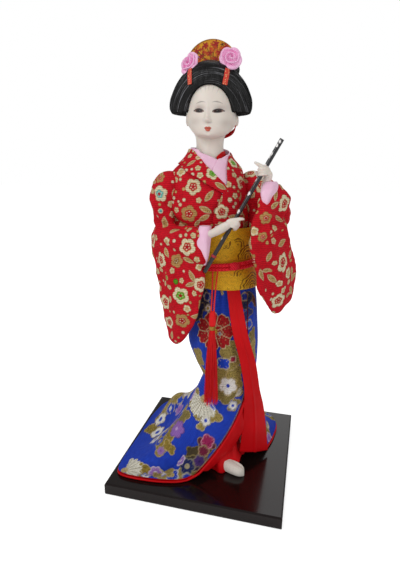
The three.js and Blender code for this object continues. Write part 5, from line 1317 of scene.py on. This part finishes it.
left_fingers = [[(38.6, -27, 224.6), (38.1, -28.6, 226.4), (35.6, -31.4, 227.5), (33.1, -32.2, 228.8),
                 (30.7, -32, 230.1)],
                [(38.8, -26.6, 224), (38.5, -28.4, 226), (36.3, -31.6, 226.4), (34.3, -31.8, 226.2), (33, -29, 225.5)],
                [(38.8, -26, 223), (38.8, -27.8, 225), (36.4, -31.4, 225), (34.3, -31.4, 224.7), (32.8, -28.6, 224)],
                [(38.8, -25.6, 221.6), (38.9, -27, 223.6), (36.7, -31, 223.5), (34.7, -31, 223.1),
                 (33.2, -28.4, 222.5)],
                [(38, -24, 218.4), (37.9, -23, 220.4), (34.7, -22.4, 220.7), (32.3, -23.6, 222.3), (30.2, -25, 224.9)]]
flute_low, flute_high = np.array((1.9, -34, 161.7)), np.array((45.8, -26, 243.2))
axis = flute_high - flute_low
grip = 1.6  # the fingers close round the flute to this radius
for name, (line, radii), fingers in (("right_hand", right_palm, right_fingers), ("left_hand", left_palm, left_fingers)):
    parts = [cloth(name + "_palm", 28, 36, tube(line, radii, 0.72), (20, 20), gofun, closed=True)]
    for i, path in enumerate(fingers):
        parts.append(cloth(f"{name}_finger_{i}", 16, 30, tube(path, [1.5, 1.34, 1.26, 1.1, 0.66]), (9, 12), gofun,
                           closed=True))
    mesh = sewn(name + "_plaster", parts, 0.26, 3)
    co = vertices(mesh) * 1000
    foot_of = flute_low + np.outer((co - flute_low) @ axis / (axis @ axis), axis)
    away = np.linalg.norm(co - foot_of, axis=1)[:, None]
    co = np.where(away < grip, foot_of + (co - foot_of) * grip / np.maximum(away, 0.2), co)
    mesh.vertices.foreach_set("co", (co * mm).ravel())
    hand = link(name + "_plaster", mesh, gofun)
    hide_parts(name)
    keep_ink(hand, surface(hand))

# Flute: a bamboo side-blown flute, lacquered near black, with white patches on its side toward the camera that are
# partly silver-white bindings and partly painted highlight, and a red ring.
dark_lacquer, tree, shader = finish_named("lacquered_bamboo", roughness=0.28, coat_weight=0.4, coat_roughness=0.1)
streaks = blend(tree, noise(tree, 300, 3), "#0e0d10", "#2c2c30")
join(shader, {"Base Color": with_motifs(tree, streaks)})
flute_side = np.cross(axis, (0.3, 1, 0))
flute_side /= np.linalg.norm(flute_side)
flute_lift = np.cross(axis, flute_side)
flute_lift /= np.linalg.norm(flute_lift)


def round_flute(u, share, radius):
    """Points round the flute's axis, share of the way along it."""
    turn = math.tau * u
    out = np.cos(turn)[:, None] * flute_side + np.sin(turn)[:, None] * flute_lift
    return np.moveaxis(flute_low + share[:, None] * axis + radius[:, None] * out, -1, 0)


def flute_wall(u, v):
    """Outside up to the rim, over it, and down the bore; the low end is closed."""
    share = np.interp(v, (0, 0.02, 0.86, 0.87, 0.99, 1), (0, 0, 1, 1, 0.9, 0.9))
    radius = np.interp(v, (0, 0.02, 0.86, 0.87, 0.99, 1), (0.01, 1.35, 1.35, 0.75, 0.75, 0.01))
    knot = 0.06 * (bump(share, 0.32, 0.01) + bump(share, 0.66, 0.01)) * (v < 0.86)
    return round_flute(u, share, radius + knot)


pipe = cloth("flute_lacquered", 36, 420, flute_wall, (8.5, 93), dark_lacquer, body="flute", closed=True)
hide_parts("flute")
ground = surface(pipe)
# White patches, each at a place in the 400 by 570 frame and only on the side facing the camera: partly bindings, partly
# painted highlight.
for px, py, size in ((280.3, 141.4, 0.8), (277.2, 145.4, 0.9), (271.8, 153.6, 1), (269.6, 157, 0.8), (265, 165.6, 1),
                     (256, 180, 1.1), (249, 193.4, 1.1), (238.8, 211.2, 1.1), (222.2, 238, 1.1)):
    near, s, t = flat_on(ground, in_picture(ground, px - 0.4, py), 2.2)
    lay(ground, near, inside_of(np.hypot(s, t * 0.75) - size), "#f4f2f0")
share = (ground["co"] - flute_low) @ axis / (axis @ axis)
for place in (0.42, 0.47, 0.56, 0.6, 0.68, 0.78):
    facing = 0.01 * (1 - ground["out"] @ toward)
    near, s, t = flat_on(ground, int((np.abs(share - place) + facing).argmin()), 1.2)
    lay(ground, near, inside_of(np.hypot(s, t) - 0.42), "#050506")
keep_ink(pipe, ground)
# Red enamel, streaked where the brush passed.
ring_red = two_tone("red_enamel_ring", lambda tree: noise(tree, 500), "#901424", "#bc2c3c", roughness=0.3)
ring_place, ring_half = 0.13, 0.0086


def ring_wall(u, v):
    share = ring_place + ring_half * np.interp(v, (0, 0.1, 0.9, 1), (-1, -1, 1, 1))
    radius = np.interp(v, (0, 0.1, 0.3, 0.7, 0.9, 1), (1.3, 1.65, 1.75, 1.75, 1.65, 1.3))
    return round_flute(u, share, radius)


ring = cloth("flute_ring_enamel", 36, 20, ring_wall, (11, 1.6), ring_red, body="flute", closed=True)
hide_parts("flute_ring")

# Head: cast plaster under many coats of white shell paint, polished to an eggshell sheen; the face
# is painted by brush: thin brows, narrow dark eyes, small orange-red lips and a breath of pink.
head_rows = track([[244.4, -1.2, -9.6, 3.4, 3.4, 4.6, 5], [246.6, -1.9, -8, 8.6, 9.4, 9.4, 9.5],
                   [250.5, -2.4, -4.4, 12.8, 14.2, 14, 12.6], [256, -2.8, -1.2, 16.2, 16.6, 16.8, 15],
                   [262, -3, 0, 16.2, 16, 17.8, 16], [270, -3, 0.2, 15.4, 15.4, 17.2, 16.4],
                   [278, -3, 0.6, 13.2, 13.2, 14.8, 15], [284, -3, 1, 9.2, 9.2, 10, 11],
                   [287.6, -3, 1.2, 2.6, 2.6, 3, 3]])
head_turn = 8


def head_form(u, v):
    z = 244.2 + 43.6 * v
    around = math.tau * (crowd(u, [(0, 0), (0.2, 0.33), (0.8, 0.67), (1, 1)]) - 0.5)
    plain, around = around, around + 0.06
    nose = 2.7 * bump(z, 255.4, 1.9) * bump(around, 0, 0.1) + 1.2 * bump(z, 259.8, 3.6) * bump(around, 0, 0.085)
    nose += 0.7 * bump(z, 254.9, 1.0) * (bump(around, 0.1, 0.06) + bump(around, -0.1, 0.06))
    lips = 0.75 * bump(z, 250.9, 0.8) * bump(around, 0, 0.12) + 0.85 * bump(z, 249.1, 0.9) * bump(around, 0, 0.1)
    chin = 0.9 * bump(z, 245.8, 1.8) * bump(around, 0, 0.28) - 0.35 * bump(z, 247.7, 0.7) * bump(around, 0, 0.2)
    eyes = -0.75 * bump(z, 261.2, 2.2) * (bump(around, 0.37, 0.2) + bump(around, -0.37, 0.2))
    lids = 0.45 * bump(z, 260.2, 1.3) * (bump(around, 0.37, 0.14) + bump(around, -0.37, 0.14))
    cheeks = 0.12 * bump(z, 253.5, 4) * (bump(around, 0.6, 0.3) + bump(around, -0.6, 0.3))
    shut = np.clip(np.minimum(v, 1 - v) * 40, 0.003, 1)
    row = head_rows(z)
    x, y = oval(row, plain, head_turn, nose + lips + chin + eyes + lids + cheeks)
    return drawn_in(row, x, y, z, shut)


parts = [cloth("head_shell", 260, 220, head_form, (96, 44), gofun, closed=True),
         turned("head_neck", [(0.05, 227), (10.3, 227.05), (9.7, 231), (9.6, 235), (9.1, 241), (9.6, 246), (11, 251),
                              (0.05, 252)],
                gofun, (-3.8, 1), 80)]
ear_z = 256.4
for side in (-1, 1):
    ear_x, ear_y = (float(c) for c in oval(head_rows(ear_z), math.radians(97 * side), head_turn,
                                           0.1 if side > 0 else -0.9))
    for size, shift, rise in (((1.1, 2.2, 3.4), 0, 0), ((0.9, 1.3, 1.3), 0.5, -2.2))[:1 + (side > 0)]:
        bm = bmesh.new()
        bmesh.ops.create_uvsphere(bm, u_segments=24, v_segments=16, radius=mm)
        bmesh.ops.scale(bm, verts=bm.verts, vec=size)
        bmesh.ops.rotate(bm, verts=bm.verts, cent=(0, 0, 0),
                         matrix=Matrix.Rotation(math.radians(head_turn + side * 18), 3, "Z"))
        middle = (ear_x + 0.3 * side) * mm, (ear_y - shift) * mm, (ear_z + rise) * mm
        bmesh.ops.translate(bm, verts=bm.verts, vec=middle)
        parts.append(link(f"ear_{side}_{shift}", meshed(bm, "ear"), gofun, "head"))
mesh = sewn("head_shell_paint", parts, 0.31, 2)
face = link("head_shell_paint", mesh, gofun, "head")
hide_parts("head")
ground = surface(face)
ahead = np.flatnonzero((ground["out"] @ toward > 0.1) & (ground["co"][:, 1] < -5))
px, pz = ground["co"][ahead, 0], ground["co"][ahead, 2]


def paint(cover, colour):
    """Paints the face where cover says."""
    lay(ground, ahead, cover, colour)


for cx, cz, reach, strength, colour in ((-9.5, 254.6, 4.2, 0.2, "#f0b4a8"), (9.5, 253.6, 4.2, 0.2, "#f0b4a8"),
                                        (-6.4, 262.6, 3.4, 0.36, "#e6aca0"), (6.2, 262.4, 3.4, 0.36, "#e6aca0")):
    paint(strength * np.exp(-((px - cx) / reach) ** 2 - ((pz - cz) / (reach * 0.55)) ** 2), colour)
# Painted shadow: a soft grey-brown patch under the nose.
paint(0.35 * np.exp(-((px + 0.3) / 1.6) ** 2 - ((pz - 253.6) / 0.45) ** 2), "#8c7c70")
for side, cx, cz in ((-1, -7.1, 260.4), (1, 4.7, 260.2)):
    s = (px - cx) * side
    t = pz - cz
    top = 1.45 * unit(1 - ((s + 0.1) / 3.4) ** 2) ** 0.7 + 0.14 * s
    low = -0.72 * unit(1 - (s / 3.4) ** 2) + 0.1 * s
    within = inside_of(t - top) * inside_of(low - t) * (np.abs(s) < 3.8)
    paint(within, "#987468")
    paint(within * inside_of(np.hypot(s * 0.82, t - 0.1) - 1.9), "#2a0c08")
    paint(within * inside_of(np.hypot(s, t - 0.1) - 0.9), "#0c0504")
    # Painted highlight: a small pale spot in each eye.
    paint(0.45 * inside_of(np.hypot(s + 0.45, t - 0.5) - 0.16), "#d8ccc4")
    paint(0.95 * inside_of(np.abs(t - top - 0.1) - 0.36) * (s > -3.3) * (s < 3.9), "#1c0c0a")
    paint(0.5 * inside_of(np.abs(t - low + 0.05) - 0.1) * (s > -2.4) * (s < 3.9), "#6a4a40")
    paint(0.4 * inside_of(np.abs(t - top - 1.1) - 0.1) * (np.abs(s) < 3.2), "#a88478")
    bx, bz = (-6.1, 265.2) if side < 0 else (4.3, 265.2)
    s = (px - bx) * side
    arch = 0.7 * (1 - (s / 3.2) ** 2) - 0.1 * s
    paint(0.75 * inside_of(np.abs(pz - bz - arch) - 0.32 * unit(1.1 - np.abs(s) / 3.2)) * (np.abs(s) < 3.2), "#8c7c70")
s, t = px + 0.9, pz - 250
upper = (t > 0.12) & (t < 1.75 - 0.5 * np.abs(s) - 0.75 * bump(s, 0, 0.55)) & (np.abs(s) < 2.1)
lower = (t <= 0.12) & (t > -1.6 * np.sqrt(unit(1 - (s / 1.75) ** 2))) & (np.abs(s) < 1.8)
paint((upper | lower) * 0.95, "#cc4420")
paint(0.8 * inside_of(np.abs(t - 0.12) - 0.12) * (np.abs(s) < 2.1), "#6a1810")
paint(0.5 * inside_of(np.hypot(s + 0.3, t + 0.75) - 0.45), "#e8785c")
for wx, wz, tilt, long in ((-6.4, 273.4, 0.3, 2.6), (-3.4, 274.2, 0.1, 3.4), (-1.2, 274.4, -0.1, 2.4),
                           (1.6, 274, -0.2, 3), (4.4, 272.8, -0.4, 2.6)):
    paint(0.4 * inside_of(np.abs(px - wx - tilt * (wz - pz)) - 0.12, 0.5) * (pz < wz + 3)
          * unit((pz - wz + long) / long), "#4c443c")
keep_ink(face, ground)

# Hair: black nylon combed up from the face over a form, lacquered in place, in the old style:
# a roll over the brow, two wide wings, a tail low at the nape and a flat topknot behind the comb.
hair, tree, shader = finish_named("black_nylon_hair", roughness=0.38, specular_ior_level=0.4)
lie = add(tree, "Attribute", attribute_name="comb").outputs["Vector"]
fine = noise(tree, 1, 3, stretched(tree, (2.4, 0.05, 1), lie), Distortion=0.3)
lock = noise(tree, 1, 2, stretched(tree, (0.55, 0.03, 1), lie))
# The grey in the strands is painted highlight: pale streaks laid into the black hair's colour.
shade = blend(tree, ranged(tree, fine, 0, 1, 0.56, 0.76), "#020202", "#98989e")
# Faces turned downward stay black with no streaks, as painted shade under the wings and rolls; they are made rough too.
faces = add(tree, "SeparateXYZ", {0: add(tree, "NewGeometry").outputs["Normal"]})
under = ranged(tree, faces.outputs["Z"], 0, 1, -0.2, -0.6)
join(shader, {"Base Color": blend(tree, under, shade, "#020202"),
              "Roughness": maths(tree, "MAXIMUM", ranged(tree, fine, 0.22, 0.6), under),
              "Normal": relief(tree, lock, 0.0008, 0.6, relief(tree, fine, 0.0003, 0.7))})

hair_rows = track([[261.2, -3.8, 2, 25.6, 25.6, 13.4, 20], [264, -3.8, 2, 26.8, 26.4, 14.6, 23],
                   [269, -3.8, 2, 26.4, 26.2, 16.6, 24.4], [274, -3.8, 2, 24.4, 24.4, 18, 24.4],
                   [279, -3.8, 2, 21.8, 21.8, 18.6, 23.6], [284, -3.8, 1.8, 17.8, 17.8, 18, 21],
                   [288.5, -3.8, 1.6, 12.8, 12.8, 14.6, 16], [291.4, -3.8, 1.5, 6.8, 6.8, 8.6, 9],
                   [292.6, -3.8, 1.5, 1.6, 1.6, 2, 2]])


hair_x, hair_y, hairline, brow_half = -3.8, 2, 261.2, 14.2


def across_head(x, y):
    """How far a point is to the side of the head's middle."""
    c, s = cos_sin(head_turn)
    return (x - hair_x) * c + (y - hair_y) * s


def hair_part(first, last):
    """place(u, v) for the hair between two bearings round the head, combed up from its lower edge."""
    def place(u, v):
        around = np.radians(mix(first, last, u))
        z_low = np.full_like(u, hairline)
        for step in range(12):
            across = across_head(*oval(hair_rows(z_low), around, head_turn))
            arch = 261.5 + 14.9 * np.sqrt(unit(1 - (across / brow_half) ** 2))
            over_brow = (np.cos(around) > 0) & (np.abs(across) < brow_half)
            z_low = mix(z_low, np.where(over_brow, np.maximum(arch, hairline), hairline), 0.5)
        up = unit((v - 0.16) / 0.84)
        z = mix(z_low, 292.5, np.sin(0.5 * math.pi * up) ** 1.15)
        bearing = np.degrees(around)
        strands = 0.16 * np.sin(bearing * 2.9 + 3 * np.sin(bearing * 0.7)) + 0.1 * np.sin(bearing * 7.3)
        groove = -1.1 * bump(np.minimum(u, 1 - u) * abs(last - first), 0, 2.4)
        full = 0.5 * np.sin(math.pi * up) + 0.4
        x, y = oval(hair_rows(z), around, head_turn, (strands + full) * np.clip(1 - up, 0.1, 1) ** 0.5 + groove)
        tuck = unit(1 - v / 0.16)
        inward = 1 - 0.36 * tuck ** 1.4
        x, y = hair_x + (x - hair_x) * inward, hair_y + (y - hair_y) * inward
        z = z + np.where(tuck > 0, -0.9 * np.sin(math.pi * unit(1 - tuck)) + 2.2 * tuck ** 2, 0)
        return x, y, z
    return place


def comb_out(thing, across, along):
    """Marks how the strands lie: across(x, y, z) grows from strand to strand, along down each one."""
    x, y, z = vertices(thing.data).T * 1000
    layer = thing.data.attributes.new("comb", "FLOAT_VECTOR", "POINT")
    layer.data.foreach_set("vector", np.column_stack((across(x, y, z), along(x, y, z), 0 * x)).ravel())


def arch_over(x, y, z):
    """How far out from the face a strand lies, the strands arching over it from side to side."""
    return 14 * np.hypot(across_head(x, y) / 15, (z - 259) / 17) - 0.25 * y


def round_head(x, y, z):
    return 18 * np.arctan2(x + 3.6, 4 - y)


def upward(x, y, z):
    return z


for name, first, last, columns in (("front_hair", -47, 47, 260), ("right_hair", -126, -46, 220),
                                   ("left_hair", 46, 126, 220)):
    locks = cloth(name + "_combed", columns, 90, hair_part(first, last), (abs(last - first) * 0.42, 44), hair,
                  body="head")
    comb_out(locks, arch_over, round_head)
    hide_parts(name)
rear = cloth("back_hair_crown", 240, 90, hair_part(125, 235), (46, 44), hair, body="head")
comb_out(rear, round_head, upward)


def rounded_lock(rows, low, high, turn):
    rings = track(rows)

    def place(u, v):
        z = mix(low, high, eased(v))
        around = math.tau * u
        strands = 0.14 * np.sin(around * 37 + 2 * np.sin(around * 9)) + 0.08 * np.sin(around * 83)
        row = rings(z)
        x, y = oval(row, around, turn, strands)
        shut = np.clip(np.minimum(v, 1 - v) * 24, 0.003, 1) ** 0.6
        return drawn_in(row, x, y, z, shut)
    return place


nape_rows = [[250.6, -3.4, 16, 4.5, 4.5, 3, 3.6], [252.4, -3.5, 16.2, 8.6, 8.6, 3.4, 5.4],
             [255, -3.6, 16, 11.6, 11.6, 4, 7], [260, -3.8, 15.4, 14.6, 14.6, 4, 8], [266, -3.8, 15, 16, 16, 4, 9]]
knot_rows = [[283, -3.6, 14.5, 10, 10, 7, 9], [286, -3.6, 14.5, 14.4, 14.4, 7.6, 11],
             [289.6, -3.6, 14.5, 15.8, 15.8, 7.8, 12], [293.5, -3.6, 14.6, 14.4, 14.4, 7.4, 11],
             [297, -3.6, 14.8, 9.5, 9.5, 5.4, 8], [298.6, -3.6, 15, 3, 3, 2.4, 3]]
for name, node, rows, low, high, ways in (
        ("nape_tail_combed", "back_hair", nape_rows, 250.4, 266, (round_head, upward)),
        ("topknot_combed", "topknot", knot_rows, 282.8, 298.8, (upward, round_head))):
    roll = cloth(name, 160, 60, rounded_lock(rows, low, high, head_turn), (60, 20), hair, body="head", closed=True)
    comb_out(roll, *ways)
    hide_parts(node)

# Comb: a half-round of gold lacquered board, painted with red maple leaves on dark twigs.
comb_gold, tree, shader = finish_named("gold_lacquered_board", roughness=0.35, coat_weight=0.2, coat_roughness=0.15)
lacquered = blend(tree, noise(tree, 80, 3), "#d4820c", "#f0b41c")
join(shader, {"Base Color": with_motifs(tree, lacquered)})
comb_half, comb_foot = 17.08, 289.2


def comb_face(u, v):
    x = comb_half * np.sin(0.5 * math.pi * (2 * u - 1))
    top = np.sqrt(np.clip(17.6 ** 2 - x ** 2, 0, None))
    low = 4.26 * np.abs(x / comb_half) ** 2.6
    c, s = cos_sin(head_turn)
    back_by = 4.85
    return hair_x + x * c - back_by * s, hair_y + x * s + back_by * c, comb_foot + mix(low, top, v)


board = cloth("comb_gilt", 180, 90, comb_face, (34, 17.6), comb_gold, body="head", wall=1.5)
soft_edge = board.modifiers.new("edge", "BEVEL")
soft_edge.width = 0.0002
soft_edge.segments = 2
soft_edge.limit_method = "ANGLE"
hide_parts("comb")
ground = surface(board)


def maple(ground, at, size, turn, colour="#a81414"):
    near, s, t = flat_on(ground, at, size * 1.2, turn)
    far, around = np.hypot(s, t), np.arctan2(t, s)
    lay(ground, near, inside_of(far - size * (0.34 + 0.66 * np.abs(np.cos(2.5 * around)) ** 2.2), 0.25), colour)


def twig(ground, points, colour="#5a2408", thick=0.26):
    for (x0, z0), (x1, z1) in zip(points, points[1:]):
        x, z = ground["co"][:, 0], ground["co"][:, 2]
        t = unit(((x - x0) * (x1 - x0) + (z - z0) * (z1 - z0)) / ((x1 - x0) ** 2 + (z1 - z0) ** 2))
        lay(ground, np.arange(len(x)), inside_of(np.hypot(x - x0 - t * (x1 - x0), z - z0 - t * (z1 - z0)) - thick),
            colour)


for tip, bend in (((-15, 300), (-9, 295)), ((-9, 304), (-6, 297)), ((-2, 305.4), (-4, 298)), ((5, 303), (-1, 297)),
                  ((10, 298), (3, 294)), ((-17, 294), (-10, 292))):
    twig(ground, [(-3.8, 290), bend, tip])
dice = random.Random(9)
for count in range(110):
    x, z = dice.triangular(-17, 11, -4), 290 + 14 * dice.random() ** 1.8
    maple(ground, spot_at(ground, x, z), dice.uniform(0.9, 1.6), x,
          dice.choice(("#c8400c", "#b01c10", "#dc5810", "#5a2408", "#c83c14")))
for x, z, size in ((-15, 300, 2.2), (-9, 303, 2.3), (-2.4, 304.4, 2.3), (4.6, 302.4, 2.3), (9.4, 298, 2.2),
                   (-12, 296.4, 2.0), (-6, 298.6, 2.1), (0.4, 299, 2.2), (-17.4, 294.4, 1.9), (5.8, 296, 2.0),
                   (-8.2, 293.6, 1.9), (-1.4, 295, 1.9), (11.8, 294, 1.8)):
    maple(ground, spot_at(ground, x, z), size, x)
x, z = (ground["co"][:, 0] - hair_x) / math.cos(math.radians(head_turn)), ground["co"][:, 2] - comb_foot
lay(ground, np.arange(len(x)), 0.6 * inside_of(17.0 - np.hypot(x, z), 0.5), "#6a2c08")
keep_ink(board, ground)

# Roses: pink satin ribbon rolled into a bud and wrapped with turned-back petals, stitched under.
rose_pink = two_tone("pink_satin_ribbon", lambda tree: noise(tree, 260), "#ffa8dc", "#ffd8f2", 0.0005, 0.5,
                     roughness=0.42, sheen_weight=0.1)


def rose(name, centre, direction, spin, node):
    face_to = Vector(direction).normalized()
    frame_of = face_to.to_track_quat("Z", "Y").to_matrix()

    def stand(x, y, z):
        point = np.stack((x, y, z), -1) @ np.array(frame_of).T + centre
        return point[:, 0], point[:, 1], point[:, 2]

    def bud(u, v):
        angle = spin + u * 2.2 * math.tau
        radius = 0.6 + 4.9 * u * (1 + 0.06 * np.cos(2.5 * angle)) + 0.9 * v ** 2 * u
        height = mix(0.2, 4.9 - 1.3 * u, v) + 0.35 * np.sin(3 * angle) * v
        return stand(radius * np.cos(angle), radius * np.sin(angle), height)

    def underside(u, v):
        return stand(6 * v * np.cos(math.tau * u), 6 * v * np.sin(math.tau * u), 0.5 + 1.2 * (1 - v))

    parts = [cloth(name + "_bud", 220, 14, bud, (54, 5), rose_pink, body="head"),
             cloth(name + "_underside", 30, 6, underside, (12, 12), rose_pink, body="head")]
    for k in range(5):
        def petal(u, v, k=k):
            turn = spin + 1.257 * k + 1.5 * (u - 0.5)
            spread = np.sin(math.pi * u) ** 0.5
            radius = 2.4 + 4.3 * np.sin(0.5 * math.pi * v) * (0.82 + 0.18 * spread)
            height = 0.3 + 3.5 * v ** 0.8 * spread - 1.9 * v ** 4
            return stand(radius * np.cos(turn), radius * np.sin(turn), height)
        parts.append(cloth(f"{name}_petal_{k}", 20, 12, petal, (9, 6), rose_pink, body="head"))
    made = link(name, merged(name, parts), rose_pink, "head")
    thick = made.modifiers.new("ribbon", "SOLIDIFY")
    thick.thickness = 0.0006
    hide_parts(node)


rose("right_rose_satin", (-14.8, -7, 289), (-0.5, -0.82, 0.36), 0.4, "right_rose")
rose("left_rose_satin", (9.6, -4.6, 291.4), (0.3, -0.92, 0.28), 2.2, "left_rose")

# Ribbons: scarlet brocade ribbon under each rose, and a red one tied under the hair at the nape.
scarlet, tree, shader = finish_named("scarlet_brocade_ribbon", roughness=0.5, sheen_weight=0.1)
cells = add(tree, "TexVoronoi", {"Vector": flat_place(tree), "Scale": 1000, "Randomness": 0.6})
fleck = ranged(tree, cells.outputs["Distance"], 1, 0, 0.28, 0.38)
join(shader, {"Base Color": blend(tree, fleck, "#d83420", "#f0b878")})


def ribbon(stations):
    strip_at = track(stations)

    def place(u, v):
        row = strip_at(3 * u)
        z = mix(row[:, 1], row[:, 3], v)
        x, y = oval(hair_rows(z), np.radians(mix(row[:, 0], row[:, 2], v)), head_turn, 1.5 + 0.25 * np.sin(math.pi * v))
        return x, y, z
    return place


for name, stations in (
        ("right_hair_ribbon", [[0, -48, 285.6, -39, 286], [1, -41, 282.4, -32.4, 283],
                               [2, -34.6, 278.6, -27.4, 279.2], [3, -31.6, 275.8, -25.4, 276.3]]),
        ("left_hair_ribbon", [[0, 34, 285.6, 43, 285], [1, 28, 282.8, 36.6, 282.1],
                              [2, 22, 278.7, 29.6, 278.1], [3, 19.6, 275.9, 26.6, 275.3]])):
    strip_of = cloth(name + "_brocade", 40, 14, ribbon(stations), (12, 3.2), scarlet, body="head", wall=0.4)
    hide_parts(name)


def nape(u, v):
    around = np.radians(mix(-86, 86, u))
    sag = np.cos(around) ** 0.75
    z = mix(258.4, 249.2, sag) - v * 3.3 * mix(0.7, 1, sag)
    reach = mix(16, 17.5, sag) - 0.8 * v
    return -3.6 + reach * np.sin(around), 6.6 + reach * 0.8 * np.cos(around), z


bow = cloth("nape_ribbon_satin", 90, 10, nape, (52, 2.6), satin, body="head", wall=0.5)
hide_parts("nape_ribbon")
